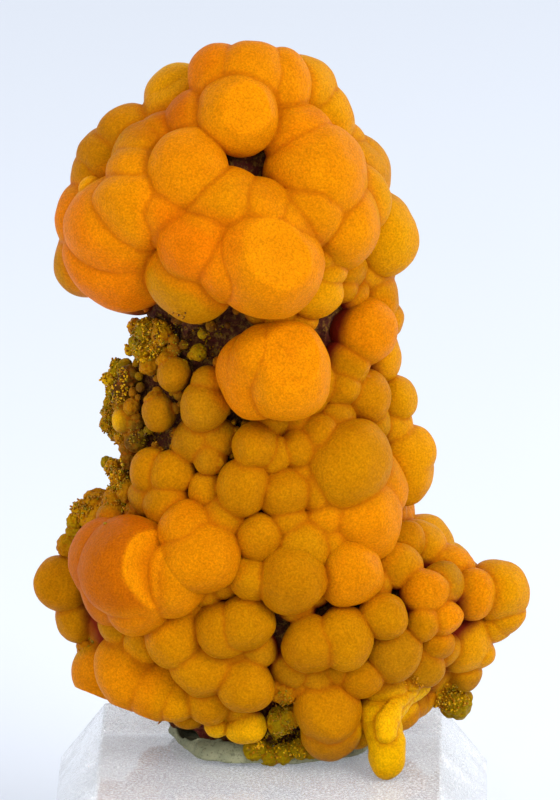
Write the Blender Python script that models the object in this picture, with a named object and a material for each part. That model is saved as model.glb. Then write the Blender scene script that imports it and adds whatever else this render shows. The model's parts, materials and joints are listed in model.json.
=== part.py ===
"""Mimetite specimen on a clear display block.

Orange to yellow globules of mimetite have grown together into one crust over a column of dark gossan rock.
A flattened pad of mounting putty holds the rock on a clear acrylic block with bevelled upper edges.

Units are metres with +Z up. The origin is the centre of the block's underside, and +Y points to the back.
Lengths in the tables below are millimetres, and MM turns them into metres.
"""

import math
import random

import bmesh
import bpy
from mathutils import Matrix, Vector, noise

MM = 0.001

# Display block: a square of acrylic whose sides slope in towards the top face.
BLOCK_WIDTH = 44.0
BLOCK_HEIGHT = 19.0
BEVEL_RUN = 4.8
BEVEL_DROP = 7.6
BLOCK_EDGE_ROUND = 0.25

# Gap that touching pieces keep between their faces.
GAP = 0.3

# Rock core: level sections as (height above the block, centre x, centre y, half width, half depth).
CORE = [
    (1.2, 1.0, 4.5, 9.5, 6.5),
    (4.0, 0.5, 5.0, 14.0, 8.5),
    (9.0, 0.5, 5.0, 17.5, 10.5),
    (14.0, 1.3, 5.0, 19.6, 11.5),
    (17.5, 1.3, 5.0, 20.0, 12.0),
    (21.0, -1.5, 5.0, 16.5, 12.0),
    (26.0, -2.8, 5.0, 14.2, 11.0),
    (32.0, -1.8, 5.0, 13.7, 10.0),
    (38.0, -2.2, 5.0, 13.2, 9.5),
    (44.0, -1.5, 5.0, 12.0, 9.5),
    (50.0, -2.8, 5.0, 12.2, 10.5),
    (57.0, -3.0, 5.0, 13.0, 11.0),
    (62.0, -3.8, 5.0, 10.8, 10.0),
    (65.5, -3.0, 5.0, 8.5, 8.0),
    (68.0, -2.5, 5.0, 5.5, 5.0),
]
CORE_SEGMENTS = 22
CRAG_DEPTH = 0.9
CRAG_SIZE = 4.5
PIT_DEPTH = 0.7
PIT_SIZE = 1.9
PIT_PLACE = Vector((7.3, 1.1, 4.9))
# Levels further apart than this get a row of corners between them, and the foot stays smooth up to here.
TALL_FACET = 2.0
FOOT_SMOOTH = 0.5

# The display view looks down on the specimen at this angle, along +Y.
LOOK_DOWN = math.radians(17)
# Steps in which a globule finds its depth on the curved rock.
SEAT_STEPS = 16

# Globules on the face that is shown, as (across, up, radius, proud). Across and up are measured square to
# the display view from the centre of the block's top face. Proud is how far the globule's centre stands
# out of the rock towards the viewer.
CROWN = [
    (-9.1, 66.0, 3.5, -0.4),
    (-8.8, 65.0, 3.7, 1.2),
    (-6.8, 63.6, 3.2, 1.6),
    (-4.8, 68.2, 3.0, 0.8),
    (-1.6, 68.3, 3.5, 0.6),
    (0.8, 67.4, 3.2, 1.0),
    (3.0, 66.9, 3.5, 1.0),
    (4.8, 64.1, 3.5, 1.6),
    (3.0, 62.4, 3.2, 2.0),
    (-3.1, 64.6, 3.7, 3.2),
    (7.9, 58.9, 3.7, 1.4),
    (5.3, 58.4, 4.7, 2.8),
    (3.6, 61.4, 2.8, 2.4),
    (6.7, 61.4, 2.8, 1.0),
    (10.9, 53.0, 3.9, 1.2),
    (7.2, 53.2, 4.0, 2.2),
    (8.6, 55.8, 3.4, 1.8),
    (4.2, 54.6, 3.4, 2.8),
    (-14.2, 62.2, 3.2, 1.6),
    (-16.2, 60.3, 3.1, 1.6),
    (-17.3, 58.4, 3.0, 1.4),
    (-12.6, 60.2, 3.4, 2.2),
    (-10.8, 61.8, 2.8, 1.6),
    (-12.4, 57.6, 3.6, 3.0),
    (-17.8, 53.8, 3.7, 2.6),
    (-18.2, 50.3, 3.5, 2.4),
    (-15.0, 52.8, 5.3, 4.2),
    (-14.9, 49.9, 5.2, 3.9),
    (-13.4, 55.0, 4.1, 4.4),
    (-8.0, 58.6, 3.9, 3.2),
    (-10.0, 55.0, 3.4, 2.8),
    (-6.8, 51.6, 4.3, 3.2),
    (-7.8, 48.0, 4.2, 2.2),
    (-4.6, 55.2, 3.8, 2.8),
    (-0.8, 54.0, 3.6, 3.0),
    (1.4, 52.4, 3.4, 3.0),
    (-3.2, 50.0, 4.4, 3.6),
    (-0.1, 49.0, 4.9, 5.2),
    (4.8, 46.9, 2.6, 1.8),
    (5.6, 49.2, 2.2, 2.0),
    (5.6, 51.2, 2.4, 1.8),
]
WAIST = [
    (10.0, 46.2, 3.0, 1.0),
    (9.6, 43.0, 3.1, 1.4),
    (11.4, 44.2, 1.9, 1.0),
    (10.8, 40.6, 2.6, 0.8),
    (8.0, 39.8, 2.2, 0.6),
    (12.8, 36.3, 2.2, 1.0),
    (9.7, 36.6, 2.4, 1.2),
    (12.0, 33.6, 2.3, 1.0),
    (7.2, 37.4, 1.8, 0.8),
    (6.8, 34.4, 1.7, 1.0),
    (2.0, 38.7, 4.4, 4.4),
    (0.4, 38.6, 4.2, 3.6),
    (-1.1, 38.5, 3.7, 2.6),
    (13.5, 30.4, 3.1, 1.2),
    (13.6, 28.6, 2.9, 1.2),
    (8.1, 29.9, 4.1, 2.6),
    (10.2, 27.4, 3.6, 2.0),
    (5.2, 32.4, 2.2, 1.2),
    (5.4, 27.6, 2.6, 1.8),
    (9.6, 24.2, 4.0, 3.0),
    (6.0, 24.4, 2.6, 1.8),
    (2.6, 18.2, 3.0, 2.4),
    (3.7, 21.4, 2.5, 1.8),
    (8.5, 18.7, 3.0, 2.6),
    (6.4, 21.6, 2.6, 1.4),
    (-1.4, 31.3, 2.2, 2.0),
    (0.6, 30.6, 1.7, 1.6),
    (-2.6, 27.2, 2.6, 1.8),
    (-1.0, 22.4, 2.1, 1.6),
    (-1.8, 18.4, 2.1, 1.4),
    (1.6, 26.8, 2.5, 1.4),
    (2.0, 24.0, 1.9, 1.2),
    (3.0, 31.2, 2.0, 1.0),
    (3.8, 28.8, 1.9, 1.0),
    (-4.6, 24.4, 2.2, 0.8),
    (-6.0, 30.2, 1.6, 0.8),
    (-6.2, 27.0, 1.7, 0.5),
    (-10.2, 25.6, 2.2, 0.8),
]
WINDOW_BEADS = [
    (-6.6, 35.3, 2.3, 1.6),
    (-6.1, 37.7, 1.5, 1.0),
    (-9.7, 38.6, 1.5, 0.9),
    (-10.3, 39.9, 0.9, 0.8),
    (-11.1, 34.7, 1.5, 0.9),
    (-11.6, 35.9, 0.9, 0.7),
    (-14.7, 34.0, 1.2, 1.0),
    (-11.9, 28.9, 2.0, 1.2),
    (-9.8, 28.7, 2.0, 1.2),
    (-5.9, 30.2, 1.4, 0.8),
    (-12.4, 43.0, 1.2, 0.5),
    (-10.8, 42.6, 1.1, 0.4),
    (-12.7, 40.9, 1.1, 0.6),
    (-12.0, 39.4, 1.0, 0.3),
    (-15.4, 39.2, 0.9, 0.2),
    (-14.2, 38.4, 1.1, 0.0),
    (-14.8, 37.0, 1.2, 0.0),
    (-16.2, 34.6, 0.9, 0.1),
    (-14.8, 35.6, 1.2, -0.2),
    (-13.5, 33.6, 0.9, 0.0),
    (-14.3, 30.1, 0.9, 0.0),
    (-15.8, 29.2, 0.9, 0.2),
    (-15.2, 28.1, 1.0, 0.4),
    (-14.4, 26.9, 1.1, 0.3),
]
TWIN_GLOBULES = [
    (-16.4, 19.9, 3.9, 3.4),
    (-15.9, 17.3, 3.6, 3.7),
    (-14.3, 19.0, 4.8, 4.2),
    (-13.4, 15.9, 3.4, 4.0),
    (-6.9, 20.2, 3.5, 3.0),
    (-8.2, 23.0, 2.7, 2.2),
    (-9.6, 18.2, 3.2, 3.4),
]
SKIRT = [
    (-21.2, 17.6, 2.6, 0.5),
    (-20.6, 21.4, 1.2, 0.2),
    (-19.2, 25.0, 1.0, 0.0),
    (-17.6, 25.9, 1.3, 0.2),
    (-15.6, 26.3, 1.3, 0.4),
    (-18.4, 24.4, 1.3, 0.3),
    (-13.4, 24.6, 1.3, 0.0),
    (-19.6, 14.0, 2.1, 0.2),
    (-18.1, 11.0, 1.7, 0.4),
    (-17.3, 8.7, 2.9, 1.4),
    (-14.4, 8.6, 3.5, 1.6),
    (-11.8, 7.0, 3.0, 1.6),
    (-9.7, 6.2, 2.2, 1.8),
    (-9.6, 12.6, 3.0, 1.6),
    (-12.6, 11.6, 2.0, 0.8),
    (-4.6, 13.2, 2.6, 1.8),
    (-2.3, 13.8, 2.5, 1.8),
    (-2.5, 7.7, 2.6, 1.8),
    (-6.6, 9.4, 3.0, 1.3),
    (-6.2, 5.9, 2.2, 1.0),
    (-5.4, 3.3, 1.1, 1.4),
    (-2.4, 3.3, 1.7, 1.0),
    (1.3, 7.2, 1.6, 0.3),
    (1.1, 3.8, 1.4, 0.4),
    (2.1, 4.3, 1.2, 0.6),
    (-1.4, 0.8, 1.2, 0.9),
    (1.4, 0.4, 1.0, 0.9),
    (3.0, 0.9, 1.0, 0.9),
    (6.1, 4.8, 3.1, 2.2),
    (6.4, 3.0, 2.8, 1.8),
    (8.8, 3.0, 1.8, 1.0),
    (4.6, 11.7, 2.7, 1.8),
    (7.6, 12.4, 2.9, 1.8),
    (9.4, 8.4, 2.0, 1.2),
    (11.5, 14.6, 2.1, 1.6),
    (12.8, 11.0, 2.6, 1.0),
    (15.4, 13.9, 1.6, 1.0),
    (15.6, 17.0, 1.9, 0.9),
    (15.2, 21.2, 2.6, 1.2),
    (12.8, 19.6, 2.2, 1.2),
    (13.6, 21.8, 1.9, 1.0),
    (17.8, 18.9, 2.8, 1.4),
    (23.3, 17.1, 3.0, 0.8),
    (20.6, 16.6, 2.3, 0.8),
    (23.8, 14.8, 2.1, 0.6),
    (22.6, 13.6, 1.8, 0.6),
    (19.6, 11.9, 2.8, 2.2),
    (21.2, 10.7, 1.6, 1.6),
    (19.8, 8.5, 1.6, 1.0),
    (18.4, 8.0, 1.4, 0.4),
    (18.9, 5.6, 1.7, 0.3),
    (16.8, 6.6, 1.3, 0.2),
    (15.6, 9.6, 2.2, 1.0),
    (14.2, 8.4, 1.6, 0.6),
    (17.4, 14.4, 1.6, 0.6),
    (16.8, 11.8, 1.8, 0.8),
]

# The hooked finger that hangs in front of the block's top face, as (across, up, radius, depth from centre).
FINGER = [
    (11.9, 0.1, 2.0, -6.0),
    (11.8, 1.8, 2.1, -5.4),
    (11.4, 3.4, 2.1, -4.4),
    (10.6, 4.6, 1.9, -3.4),
    (10.4, 6.4, 1.8, -2.0),
    (11.8, 5.2, 1.9, -3.2),
    (12.9, 6.3, 1.6, -2.0),
    (14.1, 7.0, 1.4, -0.6),
    (15.3, 7.5, 1.2, 0.6),
    (11.7, 2.9, 1.2, -6.6),
    (11.8, 4.0, 1.3, -5.9),
    (12.6, 5.6, 0.95, -4.5),
    (13.6, 6.6, 0.85, -3.0),
    (14.5, 7.4, 0.8, -1.6),
]

# Neighbours grow together: each globule is swollen by this share and set back towards the rock's spine,
# which runs between these two heights, so that the outline stays. SKIN is how far real lumps stand out.
SWELL = 1.16
SPINE = (8.0, 56.0)
SKIN = 0.3

# Small globules that fill the hollows between the others on the face that is shown.
FILL_SEED = 5
FILL_SPACING = 2.1
FILL_SHIFT = 0.3
FILL_BOTTOM = 5.0
FILL_TOP = 63.0
FILL_WIDTH = 50.0
FILL_EDGE = 0.97
FILL_RADIUS = (1.8, 2.6)
FILL_REACH = 0.95
FILL_PROUD = -0.3
# Where the hollows stay open, as (across, up, half width, half height) in the display view.
OPEN_HOLLOWS = [
    (-9.5, 42.0, 8.0, 6.5),
    (-12.5, 33.0, 3.5, 6.0),
    (-9.0, 36.0, 6.0, 3.0),
    (-3.5, 33.5, 1.8, 3.2),
    (-2.0, 59.8, 2.2, 2.4),
    (5.5, 43.2, 1.8, 2.0),
    (0.4, 12.5, 1.7, 3.4),
    (10.3, 6.5, 1.4, 2.6),
    (-17.2, 13.6, 1.6, 1.6),
    (-0.4, 5.3, 2.2, 1.0),
]

# Globules behind, laid in rows round the rock: (lowest height, highest height, mean radius).
BACK_ZONES = [(5.0, 24.0, 2.7), (24.0, 45.0, 2.4), (45.0, 64.0, 3.6)]
BACK_SEED = 11
# The top's far side, as (x, y, height above the block, radius).
CAP = [
    (-4.4, 8.5, 64.2, 4.0),
    (0.2, 8.0, 65.3, 4.3),
    (-2.8, 3.0, 67.2, 3.8),
    (-2.5, 11.5, 62.5, 4.0),
]
ROW_SPACING = 1.35
# The rows run a little inside the rock's outline: this share of its half sizes.
ROW_INSET = 0.93
ROW_SHIFT = 0.35
BEAD_SPACING = 1.5
BEAD_SHIFT = 0.25
BEAD_SIZES = (0.72, 1.2)
FEWEST_BEADS = 3
# Bare rock where the specimen was broken from its wall: centre (x, height) and half sizes.
BACK_SCAR = (-1.0, 15.0, 8.5, 12.0)
# Bare rock on the left flank: x below, height from, height to, and y below.
LEFT_WINDOW = (-8.0, 24.5, 47.0, 13.0)

# The left foot is broken off under a slant, seen edge-on in the display view: its lower end and its angle.
BREAK_CORNER = (-11.2, 3.75)
BREAK_SLANT = math.radians(21)
BREAK_SIZE = 30.0

# Crust mesh: grown together on a grid of this size, then thinned.
GROWTH_GRID = 0.55
CRUST_SHARE = 0.057
BALL_SUBDIVISIONS = 3
# How far the crust's inner face lies inside the rock before the rock is cut out of it.
INNER_INSET = 0.8

# Putty pad: centre, half sizes and height.
PUTTY_CENTRE = (0.6, 4.6)
PUTTY_HALF = (11.4, 8.4)
PUTTY_HEIGHT = 4.0
PUTTY_ROOT = 2.0
PUTTY_SQUARENESS = 0.7
PUTTY_SEGMENTS = 32
PUTTY_RINGS = 12
# Its wavy edge, as (waves round the pad, share of its half size, turn).
PUTTY_WAVES = [(5, 0.05, 0.0), (3, 0.04, 1.0)]


def clear_scene():
    """Removes what the scene holds before the specimen is made."""
    for obj in list(bpy.data.objects):
        bpy.data.objects.remove(obj)


def material(name, colour, roughness, transmission=0.0):
    """A Principled material of one colour."""
    made = bpy.data.materials.new(name)
    made.use_nodes = True
    shader = made.node_tree.nodes["Principled BSDF"]
    shader.inputs["Base Color"].default_value = (*colour, 1.0)
    shader.inputs["Roughness"].default_value = roughness
    shader.inputs["Metallic"].default_value = 0.0
    shader.inputs["Transmission Weight"].default_value = transmission
    made.diffuse_color = (*colour, 1.0)
    return made


def object_from(bm, name):
    """A named object in the scene that holds the mesh, which is then freed."""
    mesh = bpy.data.meshes.new(name)
    bm.to_mesh(mesh)
    bm.free()
    obj = bpy.data.objects.new(name, mesh)
    bpy.context.scene.collection.objects.link(obj)
    return obj


def settle(obj):
    """Makes the modifiers' result the object's own mesh."""
    bpy.context.view_layer.update()
    graph = bpy.context.evaluated_depsgraph_get()
    mesh = bpy.data.meshes.new_from_object(obj.evaluated_get(graph))
    obj.modifiers.clear()
    obj.data = mesh


def discard(*objects):
    """Removes helpers that have done their work."""
    for obj in objects:
        bpy.data.objects.remove(obj)


def swollen_copy(obj, by):
    """A copy of the object whose surface stands out by this distance, to cut a neighbour with."""
    bm = bmesh.new()
    bm.from_mesh(obj.data)
    bm.normal_update()
    for vertex in bm.verts:
        vertex.co += vertex.normal * by
    return object_from(bm, obj.name + "_swollen")


def cut(obj, cutter):
    """Takes the cutter's space out of the object."""
    boolean = obj.modifiers.new("cut", "BOOLEAN")
    boolean.operation = "DIFFERENCE"
    boolean.object = cutter
    settle(obj)


def core_section(height):
    """(centre x, centre y, half width, half depth) of the rock at this height."""
    if height <= CORE[0][0]:
        return CORE[0][1:]
    for low, high in zip(CORE, CORE[1:]):
        if height <= high[0]:
            share = (height - low[0]) / (high[0] - low[0])
            return tuple(a + share * (b - a) for a, b in zip(low[1:], high[1:]))
    return CORE[-1][1:]


def height_seen(up, depth):
    """Height above the block of what shows this far up in the display view and lies at this depth."""
    return (up - depth * math.sin(LOOK_DOWN)) / math.cos(LOOK_DOWN)


def point_seen(across, up, depth):
    """The point that shows here in the display view and lies at this depth."""
    return Vector((across, depth, height_seen(up, depth)))


def seated(across, up, proud):
    """Centre of a globule that sits on the rock's near side where the display view shows it."""
    depth = CORE[0][2]
    for _ in range(SEAT_STEPS):
        cx, cy, half_width, half_depth = core_section(height_seen(up, depth))
        side = max(-1.0, min(1.0, (across - cx) / half_width))
        depth = cy - half_depth * math.sqrt(1 - side * side)
    towards_viewer = Vector((0, -math.cos(LOOK_DOWN), math.sin(LOOK_DOWN)))
    return point_seen(across, up, depth) + towards_viewer * proud


def leaned(centre, radius):
    """(centre, radius) of a globule, swollen and set back so that it grows together with its neighbours."""
    low, high = SPINE
    height = max(low, min(high, centre.z))
    cx, cy, _, _ = core_section(height)
    outward = (centre - Vector((cx, cy, height))).normalized()
    return centre - outward * (SWELL - 1) * radius, radius * SWELL + SKIN


def front_globules():
    """(centre, radius) of each globule on the face that is shown, in millimetres above the block."""
    found = []
    for group in (CROWN, WAIST, WINDOW_BEADS, TWIN_GLOBULES, SKIRT):
        found += [leaned(seated(across, up, proud), radius) for across, up, radius, proud in group]
    for across, up, radius, depth in FINGER:
        found.append((point_seen(across, up, depth), radius))
    return found


def is_open(across, up):
    """Whether the display view shows an open hollow here."""
    return any(
        ((across - x) / half_x) ** 2 + ((up - y) / half_y) ** 2 < 1
        for x, y, half_x, half_y in OPEN_HOLLOWS
    )


def fill_globules(others):
    """(centre, radius) of each small globule in the hollows that the others leave on the shown face."""
    rng = random.Random(FILL_SEED)
    found = []
    for row in range(round((FILL_TOP - FILL_BOTTOM) / FILL_SPACING)):
        for column in range(round(FILL_WIDTH / FILL_SPACING)):
            shift = column + 0.5 * (row % 2) + rng.uniform(-FILL_SHIFT, FILL_SHIFT)
            across = -FILL_WIDTH / 2 + shift * FILL_SPACING
            up = FILL_BOTTOM + (row + rng.uniform(-FILL_SHIFT, FILL_SHIFT)) * FILL_SPACING
            radius = rng.uniform(*FILL_RADIUS)
            centre = seated(across, up, FILL_PROUD)
            cx, _, half_width, _ = core_section(centre.z)
            on_core = abs(across - cx) < half_width * FILL_EDGE
            covered = any((centre - other).length < reach * FILL_REACH for other, reach in others)
            if on_core and not covered and not is_open(across, up):
                found.append((centre, radius))
    return found


def is_bare(x, y, height):
    """Whether the rock shows here, on the scar behind or in the window on the left flank."""
    scar_x, scar_height, half_x, half_height = BACK_SCAR
    in_scar = ((x - scar_x) / half_x) ** 2 + ((height - scar_height) / half_height) ** 2 < 1
    window_x, window_low, window_high, window_y = LEFT_WINDOW
    in_window = x < window_x and y < window_y and window_low < height < window_high
    return in_scar or in_window


def back_globules():
    """(centre, radius) of each globule on the sides and the back, in rows of uneven beads."""
    rng = random.Random(BACK_SEED)
    found = [leaned(Vector((x, y, height)), radius) for x, y, height, radius in CAP]
    for low, high, mean in BACK_ZONES:
        height = low
        while height < high:
            cx, cy, half_width, half_depth = core_section(height)
            around = math.pi * (half_width + half_depth) / 2
            count = max(FEWEST_BEADS, round(around / (mean * BEAD_SPACING)))
            for i in range(count + 1):
                angle = math.pi * (i + rng.uniform(-BEAD_SHIFT, BEAD_SHIFT)) / count
                radius = mean * rng.uniform(*BEAD_SIZES)
                x = cx + half_width * ROW_INSET * math.cos(angle)
                y = cy + half_depth * ROW_INSET * math.sin(angle)
                at = height + mean * rng.uniform(-ROW_SHIFT, ROW_SHIFT)
                if not is_bare(x, y, at):
                    found.append(leaned(Vector((x, y, at)), radius))
            height += mean * ROW_SPACING
    return found


def above_block(point):
    """A point given in millimetres above the block, in metres from the origin."""
    return Vector((point[0], point[1], point[2] + BLOCK_HEIGHT)) * MM


def acrylic_block():
    """The block: square sides, then bevels that run in to the top face."""
    half = BLOCK_WIDTH / 2
    levels = [(0.0, half), (BLOCK_HEIGHT - BEVEL_DROP, half), (BLOCK_HEIGHT, half - BEVEL_RUN)]
    corners = [(-1, -1), (1, -1), (1, 1), (-1, 1)]
    bm = bmesh.new()
    rings = [
        [bm.verts.new(Vector((x * reach, y * reach, height)) * MM) for x, y in corners]
        for height, reach in levels
    ]
    bm.faces.new(reversed(rings[0]))
    bm.faces.new(rings[-1])
    for lower, upper in zip(rings, rings[1:]):
        for i in range(len(corners)):
            j = (i + 1) % len(corners)
            bm.faces.new((lower[i], lower[j], upper[j], upper[i]))
    bmesh.ops.bevel(
        bm,
        geom=bm.edges[:],
        offset=BLOCK_EDGE_ROUND * MM,
        segments=2,
        profile=0.5,
        affect="EDGES",
    )
    obj = object_from(bm, "acrylic_block")
    obj.data.materials.append(material("acrylic", (0.93, 0.95, 0.97), 0.04, 1.0))
    return obj


def crag(point):
    """How far the rock's surface stands out here, in millimetres: broad crags less small pits."""
    broad = noise.noise(point / CRAG_SIZE, noise_basis="VORONOI_F1")
    fine = noise.noise(point / PIT_SIZE + PIT_PLACE, noise_basis="PERLIN_ORIGINAL")
    return CRAG_DEPTH * (broad - 0.5) * 2 - PIT_DEPTH * max(0.0, fine)


def rock_core():
    """The gossan column: level sections joined by facets, roughened into crags and pits."""
    bm = bmesh.new()
    rings = []
    for height, cx, cy, half_width, half_depth in CORE:
        ring = []
        for i in range(CORE_SEGMENTS):
            angle = math.tau * i / CORE_SEGMENTS
            x = cx + half_width * math.cos(angle)
            y = cy + half_depth * math.sin(angle)
            ring.append(bm.verts.new((x, y, height)))
        rings.append(ring)
    for lower, upper in zip(rings, rings[1:]):
        for i in range(CORE_SEGMENTS):
            j = (i + 1) % CORE_SEGMENTS
            bm.faces.new((lower[i], lower[j], upper[j], upper[i]))
    bm.faces.new(reversed(rings[0]))
    bm.faces.new(rings[-1])
    bmesh.ops.poke(bm, faces=[f for f in bm.faces if len(f.verts) > 4])
    uprights = [e for e in bm.edges if abs(e.verts[0].co.z - e.verts[1].co.z) > TALL_FACET]
    bmesh.ops.subdivide_edges(bm, edges=uprights, cuts=1, use_grid_fill=True)
    bm.normal_update()
    foot = CORE[0][0]
    for vertex in bm.verts:
        if vertex.co.z > foot + FOOT_SMOOTH:
            vertex.co += vertex.normal * crag(vertex.co)
    bmesh.ops.triangulate(bm, faces=bm.faces[:])
    for vertex in bm.verts:
        vertex.co = above_block(vertex.co)
    obj = object_from(bm, "gossan_matrix")
    obj.data.materials.append(material("gossan", (0.13, 0.08, 0.04), 0.85))
    return obj


def grown_together(matrix):
    """All the globules and the space of the rock as one closed surface."""
    bm = bmesh.new()
    named = front_globules() + back_globules()
    for centre, radius in named + fill_globules(named):
        bmesh.ops.create_icosphere(
            bm,
            subdivisions=BALL_SUBDIVISIONS,
            radius=radius * MM,
            matrix=Matrix.Translation(above_block(centre)),
        )
    inner = swollen_copy(matrix, -INNER_INSET * MM)
    bm.from_mesh(inner.data)
    discard(inner)
    crust = object_from(bm, "mimetite_crust")
    remesh = crust.modifiers.new("grow", "REMESH")
    remesh.mode = "VOXEL"
    remesh.voxel_size = GROWTH_GRID * MM
    thin = crust.modifiers.new("thin", "DECIMATE")
    thin.ratio = CRUST_SHARE
    settle(crust)
    return crust


def islands(bm):
    """The mesh's connected pieces, as lists of faces, the largest first."""
    left = set(bm.faces)
    found = []
    while left:
        stack = [left.pop()]
        piece = []
        while stack:
            face = stack.pop()
            piece.append(face)
            for edge in face.edges:
                for other in edge.link_faces:
                    if other in left:
                        left.remove(other)
                        stack.append(other)
        found.append(piece)
    return sorted(found, key=len, reverse=True)


def drop_crumbs(obj):
    """Keeps the crust itself and drops beads that the cut has left loose."""
    bm = bmesh.new()
    bm.from_mesh(obj.data)
    bm.faces.ensure_lookup_table()
    for piece in islands(bm)[1:]:
        bmesh.ops.delete(bm, geom=piece, context="FACES")
    bmesh.ops.delete(bm, geom=[v for v in bm.verts if not v.link_faces], context="VERTS")
    bm.to_mesh(obj.data)
    bm.free()


def floor_cutter():
    """A slab whose top lies one gap above the block, to trim what would sink into the block."""
    bm = bmesh.new()
    bmesh.ops.create_cube(
        bm,
        size=BLOCK_WIDTH * 2 * MM,
        matrix=Matrix.Translation(Vector((0, 0, BLOCK_HEIGHT + GAP - BLOCK_WIDTH)) * MM),
    )
    return object_from(bm, "floor_cutter")


def break_cutter():
    """A block that is seen edge-on in the display view and takes off what lies under the slant."""
    across, up = BREAK_CORNER
    place = Matrix.Translation(above_block(point_seen(across, up, 0.0)))
    turn = Matrix.Rotation(-LOOK_DOWN, 4, "X") @ Matrix.Rotation(BREAK_SLANT, 4, "Y")
    middle = Matrix.Translation(Vector((-BREAK_SIZE / 2, 0, -BREAK_SIZE / 2)) * MM)
    bm = bmesh.new()
    bmesh.ops.create_cube(bm, size=BREAK_SIZE * MM, matrix=place @ turn @ middle)
    return object_from(bm, "break_cutter")


def putty_pad(matrix):
    """The pad of putty: a low squeezed dome with the rock's foot pressed into it."""
    bm = bmesh.new()
    half_x, half_y = PUTTY_HALF
    bmesh.ops.create_uvsphere(bm, u_segments=PUTTY_SEGMENTS, v_segments=PUTTY_RINGS, radius=1.0)
    for vertex in bm.verts:
        x, y, z = vertex.co
        turn = math.atan2(y, x)
        wave = 1 + sum(share * math.sin(count * turn + start) for count, share, start in PUTTY_WAVES)
        vertex.co = above_block((
            PUTTY_CENTRE[0] + x * half_x * wave,
            PUTTY_CENTRE[1] + y * half_y * wave,
            max(0.0, z) ** PUTTY_SQUARENESS * PUTTY_HEIGHT + min(0.0, z) * PUTTY_ROOT,
        ))
    pad = object_from(bm, "mounting_putty")
    floor = floor_cutter()
    rock_print = swollen_copy(matrix, GAP * MM)
    cut(pad, floor)
    cut(pad, rock_print)
    discard(floor, rock_print)
    drop_crumbs(pad)
    pad.data.materials.clear()
    pad.data.materials.append(material("putty", (0.36, 0.37, 0.27), 0.8))
    return pad


def mimetite_crust(matrix, pad):
    """The crust: the grown-together globules less the rock and putty, trimmed clear of the block."""
    crust = grown_together(matrix)
    cutters = [swollen_copy(matrix, GAP * MM), swollen_copy(pad, GAP * MM), floor_cutter(), break_cutter()]
    for cutter in cutters:
        cut(crust, cutter)
    discard(*cutters)
    drop_crumbs(crust)
    crust.data.materials.clear()
    crust.data.materials.append(material("mimetite", (0.85, 0.38, 0.01), 0.5))
    crust.data.shade_smooth()


def main():
    """Builds the specimen from the block up."""
    clear_scene()
    acrylic_block()
    matrix = rock_core()
    pad = putty_pad(matrix)
    mimetite_crust(matrix, pad)


main()
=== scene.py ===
"""Looks of a mimetite specimen: orange globules on dark gossan, held by putty on a clear acrylic block.

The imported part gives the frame. Lengths in the tables are millimetres above the block, and MM turns them
into metres. The display view looks along +Y and down, and the tables say where it shows each globule.
"""

from __future__ import annotations

import json
import logging
import math
import random
import sys
from dataclasses import dataclass, field, replace
from enum import Enum
from typing import Iterable, Sequence

import bpy
import numpy as np
from mathutils import Euler, Matrix, Vector
from mathutils.bvhtree import BVHTree

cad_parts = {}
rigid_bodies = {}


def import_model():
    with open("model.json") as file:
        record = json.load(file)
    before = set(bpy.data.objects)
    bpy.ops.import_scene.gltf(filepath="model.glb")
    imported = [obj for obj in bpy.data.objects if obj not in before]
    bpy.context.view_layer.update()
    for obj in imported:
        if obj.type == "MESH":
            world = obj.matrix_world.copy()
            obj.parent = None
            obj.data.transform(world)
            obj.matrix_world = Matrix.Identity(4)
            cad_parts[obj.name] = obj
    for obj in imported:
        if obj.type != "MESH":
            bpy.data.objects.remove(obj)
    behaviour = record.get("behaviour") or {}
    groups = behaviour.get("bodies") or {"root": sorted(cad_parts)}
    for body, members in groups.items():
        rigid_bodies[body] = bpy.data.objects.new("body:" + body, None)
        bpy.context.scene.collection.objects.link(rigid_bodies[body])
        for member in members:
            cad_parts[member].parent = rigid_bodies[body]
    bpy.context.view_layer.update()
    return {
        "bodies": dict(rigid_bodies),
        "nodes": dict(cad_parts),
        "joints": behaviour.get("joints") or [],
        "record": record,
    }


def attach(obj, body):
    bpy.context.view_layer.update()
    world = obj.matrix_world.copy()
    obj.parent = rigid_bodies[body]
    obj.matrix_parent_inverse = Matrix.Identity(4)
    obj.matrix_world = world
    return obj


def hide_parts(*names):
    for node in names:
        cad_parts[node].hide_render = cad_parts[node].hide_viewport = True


LOG = logging.getLogger("specimen")
MM = 0.001
BODY = "root"
LOOK_DOWN = math.radians(17)
TOWARDS_VIEWER = Vector((0, -math.cos(LOOK_DOWN), math.sin(LOOK_DOWN)))
VIEW_UP = Vector((0, math.sin(LOOK_DOWN), math.cos(LOOK_DOWN)))
BLOCK_HEIGHT = 19.0

Colour = tuple[float, float, float]


class Tone(Enum):
    """Base colours of the mimetite, in linear light. The burnt tone also serves as painted shade on the
    globules that face away from the light.
    """

    # Painted shade: the burnt orange is darker partly to stand in for the shade on left-facing globules.
    BURNT = (0.46, 0.112, 0.001)
    FIRE = (0.62, 0.158, 0.001)
    ORANGE = (0.58, 0.186, 0.001)
    AMBER = (0.44, 0.164, 0.001)
    GOLD = (0.55, 0.222, 0.001)
    HONEY = (0.64, 0.330, 0.001)
    LEMON = (0.70, 0.350, 0.002)
    OCHRE = (0.38, 0.150, 0.002)
    OLIVE = (0.27, 0.170, 0.002)
    UMBER = (0.090, 0.034, 0.005)


class Tier(Enum):
    """The crust's three pieces, as (lowest, highest) height of the globules in them."""

    CROWN = (46.0, 99.0)
    WAIST = (23.5, 46.0)
    SKIRT = (-9.0, 23.5)


@dataclass(frozen=True)
class Globule:
    """One globule: where the display view shows it, its radius and how proud of the rock it stands.

    A flat growth face is given as the direction it faces: right, towards the viewer and up in that view.
    """

    across: float
    up: float
    radius: float
    proud: float
    tone: Tone
    drusy: bool = False
    flat: tuple[float, ...] = ()


@dataclass(frozen=True)
class Bead:
    """One globule in its place: centre in millimetres above the block, radius, tone, skin and flat face."""

    centre: Vector
    radius: float
    tone: Tone
    drusy: bool = False
    flat: tuple[float, ...] = ()


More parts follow.
